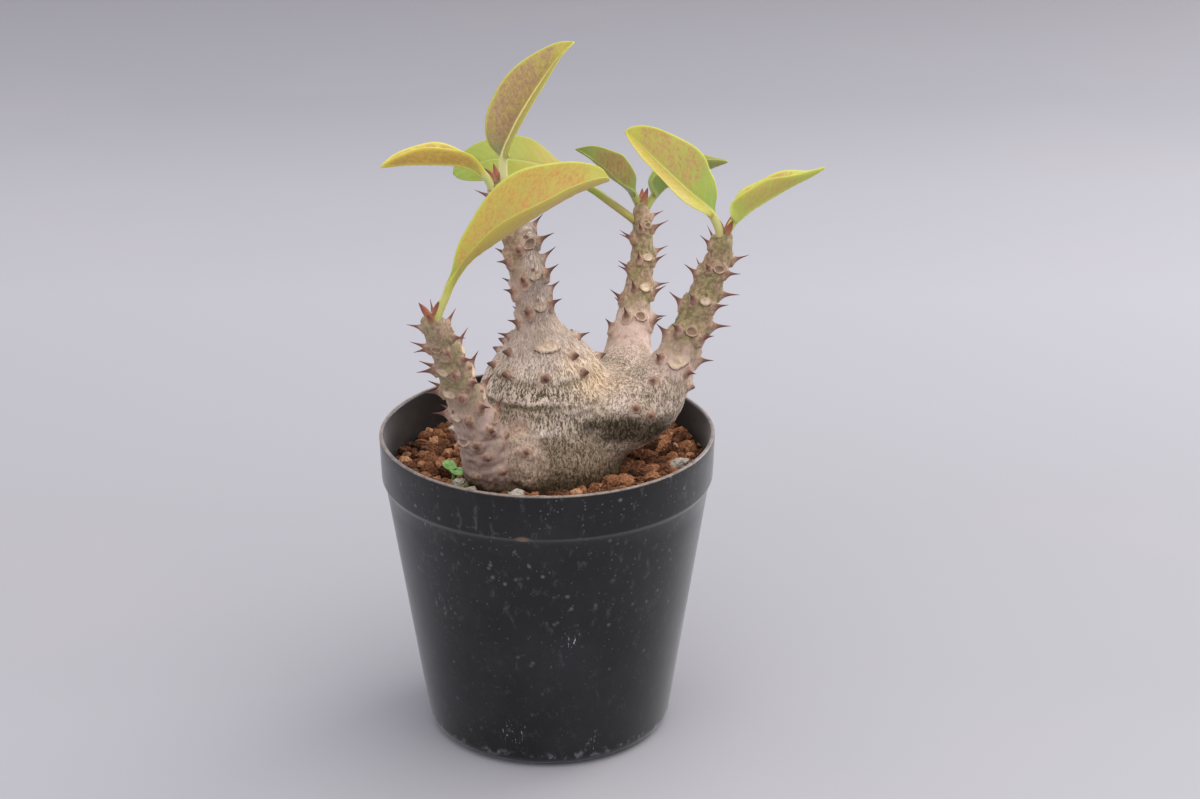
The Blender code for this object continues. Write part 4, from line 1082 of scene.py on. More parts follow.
def arc(middle_r, middle_z, radius, start, end, count):
    """Profile points on an arc, from one angle to another in degrees, 0 pointing outward and 90 up."""
    return [(middle_r + radius * math.cos(math.radians(a)), middle_z + radius * math.sin(math.radians(a)))
            for a in np.linspace(start, end, count)]


def pot_profile():
    """The pot's section, from the middle of its floor up the inside and down the outside."""
    band = POT_HEIGHT - BAND_HEIGHT
    middle = BASE_RADIUS - BASE_CORNER
    lip = 0.5 * WALL
    points = [(0.0, FLOOR), (CHANNEL_INNER - 1.2, FLOOR), (CHANNEL_INNER + 0.3, CHANNEL_DEPTH + FLOOR)]
    points += [(CHANNEL_OUTER - 0.3, CHANNEL_DEPTH + FLOOR), (CHANNEL_OUTER + 1.2, FLOOR)]
    points += arc(middle, BASE_CORNER, BASE_CORNER - FLOOR, -90.0, -5.0, 7)
    points += [(inner_radius(BASE_CORNER + 0.5), BASE_CORNER + 0.5)]
    points += [(inner_radius(z), z) for z in np.linspace(12.0, band - 2.4, 8)]
    points += [(inner_radius(band - 1.4) + 0.05, band - 1.4), (inner_radius(band - 0.6) + 0.35, band - 0.6)]
    points += [(inner_radius(band + 0.1), band + 0.4), (RIM_RADIUS - WALL - 0.15, POT_HEIGHT - 4.0)]
    points += arc(RIM_RADIUS - lip, POT_HEIGHT - lip, lip, 180.0, 0.0, 9)
    points += [(RIM_RADIUS - 0.1, POT_HEIGHT - 3.0), (RIM_RADIUS - 0.25, POT_HEIGHT - 8.0)]
    points += [(wall_radius(band + 0.1), band + 1.0), (wall_radius(band + 0.1) - 0.05, band + 0.6)]
    points += [(wall_radius(band - 0.1) + 0.55, band + 0.1), (wall_radius(band - 0.1) + 0.2, band - 0.5)]
    points += [(wall_radius(z), z) for z in np.linspace(band - 1.2, BASE_CORNER + 1.5, 14)]
    points += arc(middle, BASE_CORNER, BASE_CORNER, 0.0, -80.0, 9)
    points += [(middle, 0.0), (CHANNEL_OUTER + 0.6, 0.0)]
    points += [(CHANNEL_OUTER - 0.9, CHANNEL_DEPTH), (CHANNEL_INNER + 0.9, CHANNEL_DEPTH)]
    points += [(CHANNEL_INNER - 0.6, 0.0), (0.0, 0.0)]
    return points


def make_pot(collection, tools):
    """The nursery pot, with drain holes in the raised channel of its underside."""
    pot = turned("pot_shell", pot_profile(), collection, POT_STEPS)
    for i in range(DRAIN_COUNT):
        angle = 2 * math.pi * (i + 0.5) / DRAIN_COUNT
        bm = bmesh.new()
        bmesh.ops.create_cone(bm, cap_ends=True, segments=28, radius1=DRAIN_RADIUS * MM,
                              radius2=DRAIN_RADIUS * MM, depth=12.0 * MM)
        hole = object_from_bmesh("drain_hole", bm, tools)
        hole.location = (DRAIN_RING * MM * math.cos(angle), DRAIN_RING * MM * math.sin(angle), 2.0 * MM)
    boolean_with(pot, "DIFFERENCE", tools, "EXACT")
    dress(pot, pot_look(), 40.0)
    return pot


# Making the soil
def soil_height(x, y):
    """Height of the soil's surface between its grains."""
    away = min(math.hypot(x, y) / RIM_RADIUS, 1.0)
    return SOIL_LEVEL + SOIL_MOUND * (1.0 - away ** 2) + SOIL_TILT * x


def make_soil_bed(collection):
    """The fill below the grains, a small gap away from the pot's wall and floor, painted dark as the shade
    between the grains.
    """
    gap = SOIL_GAP
    floor = FLOOR + gap
    top_radius = inner_radius(SOIL_LEVEL) - gap
    band = POT_HEIGHT - BAND_HEIGHT
    profile = [(top_radius * i / SOIL_RINGS, SOIL_LEVEL) for i in range(SOIL_RINGS + 1)]
    profile += [(inner_radius(band + 0.1) - gap, band + 0.1), (inner_radius(band - 2.4) - gap, band - 2.4)]
    profile += [(inner_radius(BASE_CORNER + 0.5) - gap, BASE_CORNER + 0.9)]
    profile += [(BASE_RADIUS - BASE_CORNER - 0.3, floor + 0.2), (CHANNEL_OUTER + 1.2 + gap, floor)]
    profile += [(CHANNEL_OUTER - 0.1, CHANNEL_DEPTH + floor), (CHANNEL_INNER + 0.1, CHANNEL_DEPTH + floor)]
    profile += [(CHANNEL_INNER - 1.2 - gap, floor), (0.0, floor)]
    bed = turned("soil_bed", profile, collection, SOIL_SPOKES)
    points = points_of(bed.data)
    top = points[:, 2] > SOIL_LEVEL - 0.01
    lumps = lumps_at(points[top], (0.8, 3.6, 5), (0.35, 1.3, 6))
    points[top, 2] = [soil_height(x, y) for x, y, _ in points[top]] + lumps - 0.5
    put_points(bed.data, points)
    # Dark tone: painted shade seen between the grains
    paint(bed.data, tone=np.full(len(points), BED_SHADE_TONE), pale=np.zeros(len(points)))
    dress(bed, soil_look())
    return bed


def icosphere(subdivisions):
    """Points and faces of a unit icosphere."""
    bm = bmesh.new()
    bmesh.ops.create_icosphere(bm, subdivisions=subdivisions, radius=1.0)
    points = np.array([vert.co for vert in bm.verts])
    faces = np.array([[vert.index for vert in face.verts] for face in bm.faces])
    bm.free()
    return points, faces


def grain_points(ball, rng, size, rough):
    """A crumbly clay grain: a stretched ball cut flat in places and broken up, turned at random."""
    seed = rng.uniform(0.0, 90.0)
    stretch = np.array((rng.uniform(0.85, 1.3), rng.uniform(0.75, 1.1), rng.uniform(0.6, 0.95)))
    lumps = lumps_at(ball, (0.30, 0.85, seed), (0.26, 0.36, seed + 3.0), (0.14, 0.17, seed + 6.0))
    points = ball * (1.0 + rough * lumps)[:, None]
    for _ in range(GRAIN_CUTS):
        cut = np.array((rng.gauss(0, 1), rng.gauss(0, 1), rng.gauss(0, 1)))
        cut /= np.linalg.norm(cut)
        over = points @ cut - rng.uniform(0.62, 0.9)
        points -= np.where(over > 0.0, 0.8 * over, 0.0)[:, None] * cut
    turn = Matrix.Rotation(rng.uniform(0.0, FULL_TURN), 3, "Z")
    turn = turn @ Matrix.Rotation(rng.uniform(0.0, FULL_TURN), 3, "X")
    return (points * stretch * size) @ np.array(turn)


def free_place(rng, placed, tree, size, reach):
    """A place for a grain on the soil, clear of the plant, the pot and the grains before it."""
    away = reach * math.sqrt(rng.random())
    angle = rng.uniform(0.0, 2 * math.pi)
    x = away * math.cos(angle)
    y = away * math.sin(angle)
    z = soil_height(x, y) + size * rng.uniform(*GRAIN_RISE)
    if away > reach - 1.05 * size:
        return None
    place = Vector((x, y, z)) * MM
    nearest, normal, _, distance = tree.find_nearest(place)
    if (place - nearest).dot(normal) < 0.0 or distance < GRAIN_CLEARANCE * size * MM:
        return None
    for other_x, other_y, other_z, other_size in placed:
        room = GRAIN_SPACING * (size + other_size)
        if (x - other_x) ** 2 + (y - other_y) ** 2 + (z - other_z) ** 2 < room * room:
            return None
    return x, y, z, size


def scatter_grains(name, tree, rng, sizes, ball, collection, stones):
    """Grains over the soil, from the plant to the pot's wall, as one mesh of small closed lumps."""
    smallest, largest, count = sizes
    points, faces = ball
    placed = list(stones)
    grains = [grain_points(points, rng, stone[3], STONE_ROUGHNESS) + stone[:3] for stone in stones]
    tones = [STONE_TONE] * len(stones)
    pales = [1.0] * len(stones)
    reach = inner_radius(SOIL_LEVEL)
    for _ in range(GRAIN_TRIES):
        if len(grains) >= count:
            break
        size = largest - (largest - smallest) * math.sqrt(rng.random())
        place = free_place(rng, placed, tree, size, reach)
        if place is not None:
            placed.append(place)
            grains.append(grain_points(points, rng, size, 1.0) + place[:3])
            tones.append(min(max(rng.gauss(*GRAIN_TONES), 0.05), 0.98))
            pales.append(1.0 if rng.random() < PALE_SHARE else 0.0)
    mesh = bpy.data.meshes.new(name)
    shift = np.arange(len(grains))[:, None, None] * len(points)
    corners = (faces[None, :, :] + shift).reshape(-1, 3)
    mesh.from_pydata((np.vstack(grains) * MM).tolist(), [], corners.tolist())
    obj = link_object(name, mesh, collection)
    paint(mesh, tone=np.repeat(tones, len(points)), pale=np.repeat(pales, len(points)))
    dress(obj, bpy.data.materials["soil_clay"], 32.0)
    return obj


def make_soil(collection, plain):
    """The soil's bed, its clay grains and the crumbs between them."""
    tree = tree_of(plain)
    rng = random.Random(SOIL_SEED)
    bed = make_soil_bed(collection)
    grains = scatter_grains("soil_grains", tree, rng, BIG_GRAINS, icosphere(3), collection, PUMICE)
    crumbs = scatter_grains("soil_crumbs", tree, rng, SMALL_GRAINS, icosphere(2), collection, ())
    return [bed, grains, crumbs]


# Making the sprout and the moss
def seed_leaf(start, heading, length, width, collection, fold=10.0):
    """One small smooth leaf."""
    heading = np.array(heading) / np.linalg.norm(heading)
    route = [start + heading * length * s - np.array((0, 0, 0.24 * length * s * s))
             for s in (0.0, 0.33, 0.66, 1.0)]
    leaf = dict(route=route, blade_from=0.0, half_width=width, widest=0.55, ends=(0.8, 0.5), fold=fold,
                bow=0.0, up=((0.0, -0.3, 1.0), (0.0, -0.3, 1.0)), wave=0.0)
    bm = bmesh.new()
    add_sheet(bm, *leaf_rows(leaf, 22, np.linspace(-1.0, 1.0, 13))[:2])
    return object_from_bmesh("small_leaf", bm, collection)


def join_into(obj, others):
    """Join other objects' meshes into one object."""
    bm = bmesh.new()
    for piece in [obj] + others:
        bm.from_mesh(piece.data)
    bm.to_mesh(obj.data)
    bm.free()
    for piece in others:
        bpy.data.objects.remove(piece, do_unlink=True)


def make_seedling(collection):
    """A sprout with two seed leaves."""
    foot = np.array(SPROUT_FOOT)
    top = foot + np.array((0.3, -0.2, SPROUT_HEIGHT))
    bm = bmesh.new()
    rows = [np.append(foot + (top - foot) * share, SPROUT_STEM) for share in (0.0, 0.25, 0.5, 0.75, 1.0)]
    add_rings(bm, stem_rings(np.array(rows), 16))
    sprout = object_from_bmesh("sprout", bm, collection)
    leaves = []
    for turn, rise in SEED_LEAVES:
        heading = np.array((math.cos(turn), math.sin(turn), rise))
        heading /= np.linalg.norm(heading)
        start = top - heading * 0.3 - np.array((0.0, 0.0, 0.35))
        leaves.append(seed_leaf(start, heading, SPROUT_LEAF_LENGTH, SPROUT_LEAF_WIDTH, collection))
    join_into(sprout, leaves)
    dress(sprout, green_look("sprout", (150, 188, 112), (96, 146, 66)))
    return sprout


def make_moss(collection):
    """A tuft of moss between the grains and the pot's wall."""
    rng = random.Random(SOIL_SEED + 1)
    blades = []
    for _ in range(MOSS_BLADES):
        turn = rng.uniform(0.0, 2 * math.pi)
        start = [middle + rng.uniform(*room) for middle, room in zip(MOSS_PATCH, MOSS_ROOM)]
        heading = (math.cos(turn), math.sin(turn), rng.uniform(0.7, 1.8))
        length = rng.uniform(1.2, 2.0)
        blades.append(seed_leaf(start, heading, length, rng.uniform(0.25, 0.45), collection, 20.0))
    tuft = blades[0]
    tuft.name = "moss_tuft"
    join_into(tuft, blades[1:])
    dress(tuft, green_look("moss", (166, 168, 66), (104, 112, 34)))
    return tuft


# Materials
def rgb(colour):
    """A linear colour from an sRGB one of 0 to 255."""
    linear = []
    for value in colour:
        share = value / 255.0
        linear.append(share / 12.92 if share <= 0.04045 else ((share + 0.055) / 1.055) ** 2.4)
    return (*linear, 1.0)


class Look:
    """Short calls for building one node material."""

    def __init__(self, name, roughness, specular, extra=()):
        self.material = bpy.data.materials.new(name)
        self.material.use_nodes = True
        self.tree = self.material.node_tree
        self.shader = self.tree.nodes["Principled BSDF"]
        for key, value in (("Roughness", roughness), ("Specular IOR Level", specular), *extra):
            self.shader.inputs[key].default_value = value

    def give(self, socket, value):
        """Link a socket, or set its number or colour."""
        if isinstance(value, bpy.types.NodeSocket):
            self.tree.links.new(value, socket)
        else:
            socket.default_value = value

    def add(self, kind, output, inputs, **settings):
        """One output of a new node with its inputs and settings."""
        node = self.tree.nodes.new("ShaderNode" + kind)
        for key, value in settings.items():
            setattr(node, key, value)
        for key, value in inputs.items():
            self.give(node.inputs[key], value)
        return node.outputs[output]

    def number(self, name):
        """A painted number."""
        return self.add("Attribute", "Fac", {}, attribute_name=name)

    def vector(self, name):
        """A painted vector."""
        return self.add("Attribute", "Vector", {}, attribute_name=name)

    def place(self):
        """The point's own place on the object, in millimetres."""
        return self.stretch(self.add("TexCoord", "Object", {}), (1000.0, 1000.0, 1000.0))

    def stretch(self, vector, amounts):
        """A vector times three numbers."""
        return self.add("VectorMath", 0, {0: vector, 1: amounts}, operation="MULTIPLY")

    def shift(self, vector, amounts):
        """A vector plus three numbers or another vector."""
        return self.add("VectorMath", 0, {0: vector, 1: amounts}, operation="ADD")

    def part(self, vector, axis):
        """One coordinate of a vector."""
        return self.add("SeparateXYZ", axis, {0: vector})

    def length(self, vector):
        """A vector's length."""
        return self.add("VectorMath", "Value", {0: vector}, operation="LENGTH")

    def noise(self, vector, scale, detail=2.0, rough=0.5, distortion=0.0, output="Fac"):
        """Soft noise; scale is features a millimetre."""
        return self.add("TexNoise", output, {"Vector": vector, "Scale": scale, "Detail": detail,
                                             "Roughness": rough, "Distortion": distortion})

    def cells(self, vector, scale, feature="F1", output="Distance"):
        """Voronoi cells."""
        return self.add("TexVoronoi", output, {"Vector": vector, "Scale": scale}, feature=feature)

    def warp(self, vector, scale, amount):
        """A vector pushed about by noise."""
        centred = self.shift(self.noise(vector, scale, output="Color"), (-0.5, -0.5, -0.5))
        return self.shift(vector, self.stretch(centred, (amount, amount, amount)))

    def math(self, operation, first, second=0.0, clamp=False):
        """Arithmetic on two numbers."""
        return self.add("Math", 0, {0: first, 1: second}, operation=operation, use_clamp=clamp)

    def times(self, first, *others, clamp=False):
        """Numbers multiplied."""
        for other in others:
            first = self.math("MULTIPLY", first, other, clamp)
        return first

    def plus(self, first, *others, clamp=False):
        """Numbers added."""
        for other in others:
            first = self.math("ADD", first, other, clamp)
        return first

    def gap(self, first, second):
        """How far two numbers are apart."""
        return self.math("ABSOLUTE", self.math("SUBTRACT", first, second))

    def span(self, value, low, high, to_low=0.0, to_high=1.0):
        """A number mapped smoothly from one range to another, and held at its ends."""
        return self.add("MapRange", "Result", {"Value": value, "From Min": low, "From Max": high,
                                               "To Min": to_low, "To Max": to_high},
                        interpolation_type="SMOOTHSTEP")

    def mix(self, share, first, second):
        """Two colours mixed; plain colours are sRGB of 0 to 255."""
        first, second = (rgb(value) if isinstance(value, tuple) else value for value in (first, second))
        return self.add("Mix", 2, {"Factor": share, 6: first, 7: second}, data_type="RGBA")

    def coats(self, colour, *coats):
        """Coats over a colour, each with where it lies, its grain, and its dark and its light colour."""
        for share, grain, dark, light in coats:
            colour = self.mix(share, colour, self.mix(grain, dark, light))
        return colour

    def ramp(self, value, stops):
        """A colour ramp; stops are place and sRGB colour."""
        node = self.tree.nodes.new("ShaderNodeValToRGB")
        self.give(node.inputs["Fac"], value)
        elements = node.color_ramp.elements
        while len(elements) < len(stops):
            elements.new(0.5)
        for element, (place, colour) in zip(elements, stops):
            element.position = place
            element.color = rgb(colour)
        return node.outputs["Color"]

    def bumps(self, *layers):
        """Bumps over one another, each with its pattern, full height in millimetres and strength."""
        under = {}
        for height, millimetres, strength in layers:
            inputs = {"Height": height, "Distance": millimetres * MM, "Strength": strength, **under}
            under = {"Normal": self.add("Bump", "Normal", inputs)}
        return under

    def finish(self, colour, **results):
        """Link the results to the shader."""
        for key, value in {"Base Color": colour, **results}.items():
            self.give(self.shader.inputs[key], value)
        return self.material


def strands(look, flow):
    """Wavy pale fibres along the grain, 0 between them and 1 on them."""
    warped = look.warp(flow, 0.5, 0.9)
    coarse = look.noise(look.stretch(warped, (1.0, 1.0, 0.28)), 1.65, 3.0, 0.6)
    fine = look.noise(look.stretch(warped, (1.0, 1.0, 0.34)), 3.6, 2.0, 0.6)
    return look.span(look.plus(look.times(coarse, 0.5), look.times(fine, 0.5)), 0.38, 0.58)


def bark_skin(look, fibre, small, patches):
    """The bark's colour, fibrous on the bulb and smooth on the branches, with painted shade, highlight and
    warm light in patches.
    """
    tip = look.number("tip")
    upper = look.times(look.number("bulb"), look.span(look.number("height"), 104.5, 109.5, 0.0, 0.75))
    fibrous = look.coats(
        look.mix(fibre, (112, 94, 72), (226, 204, 184)),
        (look.span(patches, 0.42, 0.62), fibre, (84, 76, 50), (206, 188, 164)),
        # Painted shade: a dark fibrous band below the upper ridges
        (look.number("painted_shade_streaks"), look.span(fibre, 0.25, 0.95), (74, 66, 44), (216, 196, 176)),
        # Silvery bark with painted highlights
        (look.number("silver_painted_highlight"), fibre, (170, 150, 136), (240, 224, 212)),
        (upper, fibre, (158, 136, 120), (214, 194, 180)),
        # Yellowish fibres under a painted pool of warm light
        (look.number("golden_painted_light"), fibre, (152, 116, 76), (246, 218, 182)))

    grain = look.span(small, 0.35, 0.65)
    higher = look.coats(look.mix(grain, (140, 116, 90), (182, 154, 124)),
                        (look.span(patches, 0.42, 0.60), grain, (122, 112, 74), (164, 148, 106)))
    smooth = look.mix(look.span(patches, 0.38, 0.62), (202, 176, 162), (178, 152, 132))
    smooth = look.mix(look.span(tip, 0.05, 0.45), smooth, higher)
    grey = look.times(look.number("grey"), look.span(tip, 0.0, 0.6, 0.7, 0.2))
    smooth = look.mix(grey, smooth, (172, 148, 134))
    lobe = look.times(look.number("lobe"), 0.8)
    smooth = look.coats(smooth, (lobe, look.span(small, 0.32, 0.68), (116, 92, 70), (198, 168, 144)))
    lines = look.noise(look.stretch(look.vector("flow"), (1.0, 1.0, 0.3)), 1.6, 3.0, 0.6)
    smooth = look.mix(look.span(lines, 0.5, 0.7, 0.0, 0.42), smooth, (104, 86, 62))
    return look.mix(look.number("rough"), smooth, fibrous)


def bark_patches_and_painted_light(look, colour, fibre, small):
    """Moss and a low brown band, both partly painted shade, a dark band above the soil, painted highlights on
    the crests and painted shade below them, and salmon mounds.
    """
    height = look.number("height")
    # Darker brown fibres low on the bulb, partly painted shade
    skirt_and_shade = look.times(look.span(height, 91.5, 87.5), look.number("bulb"), 0.85)
    # Mossy olive, partly painted shade under the right lobe
    moss = look.times(look.number("moss"), look.span(small, 0.20, 0.60, 0.75, 1.1), clamp=True)
    # A dark band on the bark just above the soil
    soil_line = look.span(look.plus(height, look.span(small, 0.2, 0.8, -2.0, 2.0)), 82.5, 77.0, 0.0, 0.92)
    # Painted shade below the wrinkles' crests
    shade = look.times(look.number("shade"), 0.85, clamp=True)
    colour = look.coats(
        colour,
        (skirt_and_shade, fibre, (78, 64, 44), (162, 140, 114)),
        (look.span(moss, 0.10, 0.80, 0.0, 0.98), look.span(fibre, 0.55, 1.0), (46, 38, 24), (100, 86, 62)),
        (soil_line, fibre, (46, 36, 24), (96, 78, 52)),
        (shade, fibre, (84, 74, 40), (138, 122, 80)))
    # Painted highlight along the wrinkles' crests
    crest = look.times(look.number("crest"), look.span(small, 0.40, 0.62, 0.1, 1.3), clamp=True)
    colour = look.mix(crest, colour, (238, 218, 204))
    mound = look.times(look.number("mound"), look.span(small, 0.25, 0.62, 0.15, 0.65))
    return look.coats(colour, (mound, look.number("tip"), (198, 162, 142), (184, 150, 122)))


def bark_scars(look, colour, small):
    """Leaf scars: a pale disc with a lighter rim, a crack below it and a dark bud scar above it."""
    pad = look.vector("pad")
    wavy = look.plus(look.part(pad, 2), look.span(small, 0.2, 0.8, -0.12, 0.12))
    face = look.mix(look.span(small, 0.35, 0.65), (206, 178, 146), (232, 210, 184))
    face = look.mix(look.number("pit"), face, (118, 84, 62))
    colour = look.mix(look.times(look.span(wavy, 0.96, 0.80), 0.85), colour, face)
    rim = look.times(look.span(wavy, 0.74, 0.92), look.span(wavy, 1.16, 1.0), 0.45)
    colour = look.mix(rim, colour, (222, 190, 162))
    crack = look.times(look.span(wavy, 1.02, 1.14), look.span(wavy, 1.36, 1.20),
                       look.span(look.part(pad, 1), -0.15, -0.6), look.span(small, 0.35, 0.6, 0.25, 0.85))
    colour = look.mix(crack, colour, (98, 72, 52))
    above = look.length(look.stretch(look.shift(pad, (0.25, -1.25, 0.0)), (1.0, 1.0, 0.0)))
    dot = look.times(look.span(above, 0.46, 0.18), look.span(wavy, 2.2, 1.8),
                     look.span(look.number("dot"), 0.35, 0.75, 0.0, 0.8))
    return look.mix(dot, colour, (104, 64, 46)), crack


def bark_thorns(look, colour, thorn, small):
    """Thorns: a woody foot like the bark, a dark needle, and redder ones and bud scales at the tips."""
    needle = look.ramp(thorn, ((0.0, (172, 140, 118)), (0.30, (126, 94, 78)), (0.55, (100, 72, 64)),
                               (1.0, (74, 52, 52))))
    woody = look.span(thorn, 0.10, 0.42, 0.75, 0.0)
    needle = look.coats(needle, (woody, look.span(small, 0.35, 0.65), (128, 98, 80), (190, 158, 134)))
    redder = look.times(look.number("tip"), look.span(thorn, 0.25, 0.6, 0.0, 0.6))
    needle = look.mix(redder, needle, (146, 80, 66))
    scale = look.ramp(thorn, ((0.0, (176, 140, 104)), (0.3, (170, 112, 84)), (0.65, (148, 84, 66)),
                              (1.0, (112, 64, 56))))
    needle = look.mix(look.number("bud"), needle, scale)
    return look.mix(look.span(thorn, 0.02, 0.12), colour, needle)


def bark_look():
    """Silvery tan bark: fibrous on the bulb, smooth on the branches, with scars and thorns."""
    look = Look("bark", 0.66, 0.30)
    place = look.place()
    fibres = (strands(look, place), strands(look, look.vector("bulb_flow")))
    fibre = look.add("Mix", 0, {"Factor": look.number("bulb"), 2: fibres[0], 3: fibres[1]}, data_type="FLOAT")
    small = look.noise(place, 0.9, 3.0, 0.6)
    patches = look.noise(place, 0.16, 3.0, 0.55)
    thorn = look.number("thorn")
    colour = bark_patches_and_painted_light(look, bark_skin(look, fibre, small, patches), fibre, small)
    colour, crack = bark_scars(look, colour, small)
    colour = bark_thorns(look, colour, thorn, small)
    relief = look.times(fibre, look.span(look.number("rough"), 0.0, 1.0, 0.12, 1.0),
                        look.span(thorn, 0.02, 0.12, 1.0, 0.15))
    normal = look.bumps((relief, 0.22, 0.9), (look.noise(place, 2.6, 3.0, 0.6), 0.14, 0.8),
                        (look.times(crack, -1.0), 0.25, 1.0))
    return look.finish(colour, Roughness=look.span(fibre, 0.0, 1.0, 0.74, 0.60), **normal)


def leaf_blotches(look, look_of, slanted, beyond, edges):
    """Where autumn blotches lie on a leaf, and their colour."""
    soft = look_of["soft"]
    broad = look.noise(slanted, 0.30, 3.0, 0.6, 0.3)
    grains = look.noise(slanted, 1.1, 3.0, 0.65)
    blocks = look.part(look.cells(look.warp(slanted, 1.2, 0.7), 0.95, output="Color"), 0)
    reach = look.plus(look.times(broad, 0.56), look.times(grains, 0.28), look.times(blocks, 0.16),
                      look.times(look.number("region"), 0.42))
    level = 0.92 - 0.44 * (look_of["blotch"][2] - 0.5)
    blotch = look.times(look.span(reach, level - soft, level + soft), edges,
                        look.span(beyond, 0.0, 1.0, 1.0, 1.0 - 0.7 * look_of["other"][1]))
    return look.times(blotch, 0.86), look.mix(look.span(grains, 0.40, 0.60), *look_of["blotch_colours"])


def leaf_look(name, look_of, leaf):
    """A leathery leaf: pale rib, yellow margin, side veins, and autumn blotches between them."""
    look = Look(name, 0.46, 0.34, (("Subsurface Weight", 0.30), ("Subsurface Radius", (1.0, 0.8, 0.25)),
                                   ("Subsurface Scale", 0.0012)))
    blade = look.vector("blade")
    u = look.number("u")
    from_rib = look.number("from_rib")
    from_edge = look.number("from_edge")
    rib = look_of["rib"]
    margin = look_of["margin"]
    other, share, side = look_of["other"]
    beyond = look.span(look.times(look.part(blade, 1), side), -0.2, 0.5)
    vein_count = look.part(blade, 2)
    spacing = route_length(smooth_route(leaf["route"], 60)) * (1.0 - leaf["blade_from"]) / VEINS
    along = look.times(vein_count, spacing)
    slanted = look.add("CombineXYZ", 0, {0: along, 1: look.times(look.part(blade, 1), 1.25)})

    colour = look.ramp(u, look_of["along"])
    cloud = look.span(look.noise(blade, 0.16), 0.40, 0.65, 0.0, 0.6)
    colour = look.mix(cloud, colour, look.mix(0.5, colour, margin))
    edges = look.times(look.span(from_rib, 0.25, 1.0), look.span(from_edge, 0.2, 1.0))
    blotch, deep = leaf_blotches(look, look_of, slanted, beyond, edges)
    vein = look.span(look.times(look.gap(vein_count, look.math("ROUND", vein_count)), spacing), 0.30, 0.06)
    vein = look.times(vein, look.span(from_edge, 0.5, 2.2))
    net = look.cells(look.stretch(look.warp(blade, 0.8, 0.5), (1.0, 1.0, 0.0)), 1.1, "DISTANCE_TO_EDGE")
    rib_width = look.span(look.plus(from_rib, look.span(u, 0.2, 1.0, 0.0, 0.28)), 0.46, 0.24)
    stalk = look.mix(look.span(u, -0.10, -0.22, 0.0, 0.45), look_of["petiole"], (200, 172, 118))
    for amount, over in (
            (look.times(beyond, share), other),
            (blotch, deep),
            (look.times(vein, look_of["veins"]), rib),
            (look.span(net, 0.10, 0.0, 0.0, 0.16), rib),
            (look.span(from_edge, 0.60, 0.10, 0.0, 0.9), margin),
            (look.times(look.number("under"), 0.35), look_of["under"]),
            (look.times(rib_width, look.span(u, 1.0, 0.6, 0.4, 0.95)), rib),
            (look.span(u, 0.03, -0.02), stalk)):
        colour = look.mix(amount, colour, over)

    height = look.plus(look.times(vein, -0.4), look.times(look.span(net, 0.0, 0.12), 0.3))
    normal = look.bumps((height, 0.05, 0.7), (look.noise(blade, 2.4, 3.0, 0.6), 0.04, 0.6))
    return look.finish(colour, Roughness=look.span(look.noise(blade, 0.7), 0.3, 0.7, 0.36, 0.52), **normal)


def dust_specks(look, place, warped, scale, size, channel, chosen):
    """Specks of dust in some of the cells of a pattern."""
    cell = look.part(look.cells(place, scale, output="Color"), channel)
    return look.times(look.span(look.cells(warped, scale), size, 0.05), look.span(cell, *chosen, 0.0, 0.34))


def pot_marks(look, colour, place):
    """Pale scratches on the pot, and one tan spot of clay."""
    lines = look.noise(look.stretch(look.warp(place, 0.2, 2.0), (1.0, 1.0, 0.16)), 1.8, 3.0, 0.7)
    for x, y, z, size, amount in POT_MARKS:
        reach = look.length(look.shift(place, (-x, -y, -z)))
        mark = look.times(look.span(reach, size, 0.35 * size), look.span(lines, 0.60, 0.68, 0.0, amount))
        colour = look.mix(mark, colour, (198, 200, 202))
    tan_spot = look.length(look.stretch(look.shift(place, (5.6, 44.0, -72.6)), (1.0, 1.0, 2.2)))
    return look.mix(look.span(tan_spot, 2.6, 0.8, 0.0, 0.5), colour, (150, 118, 88))


def pot_wear(look, colour, place, height):
    """The pot's pale band step, worn rim and foot, and its stained inside."""
    band = look.gap(height, POT_HEIGHT - BAND_HEIGHT + 0.1)
    colour = look.mix(look.span(band, 0.7, 0.1, 0.0, 0.20), colour, (118, 114, 112))
    wear = look.noise(place, 0.35, 3.0, 0.65)
    rim = look.times(look.span(height, POT_HEIGHT - 0.50, POT_HEIGHT - 0.12),
                     look.span(wear, 0.25, 0.6, 0.30, 0.8))
    colour = look.coats(colour, (rim, look.noise(place, 1.2), (112, 100, 92), (180, 162, 148)))
    scuff = look.times(look.span(look.gap(height, 3.6), 1.9, 0.2), look.span(wear, 0.50, 0.68, 0.0, 0.5))
    colour = look.mix(scuff, colour, (140, 140, 144))
    away = look.length(look.stretch(place, (1.0, 1.0, 0.0)))
    inside = look.times(look.span(height, 70.0, 73.0), look.span(away, RIM_RADIUS - 0.9, RIM_RADIUS - 1.15))
    stain = look.span(look.noise(place, 0.22, 4.0, 0.65), 0.45, 0.70, 0.10, 0.60)
    colour = look.mix(inside, colour, (26, 25, 26))
    return look.mix(look.times(inside, stain), colour, (60, 50, 44))


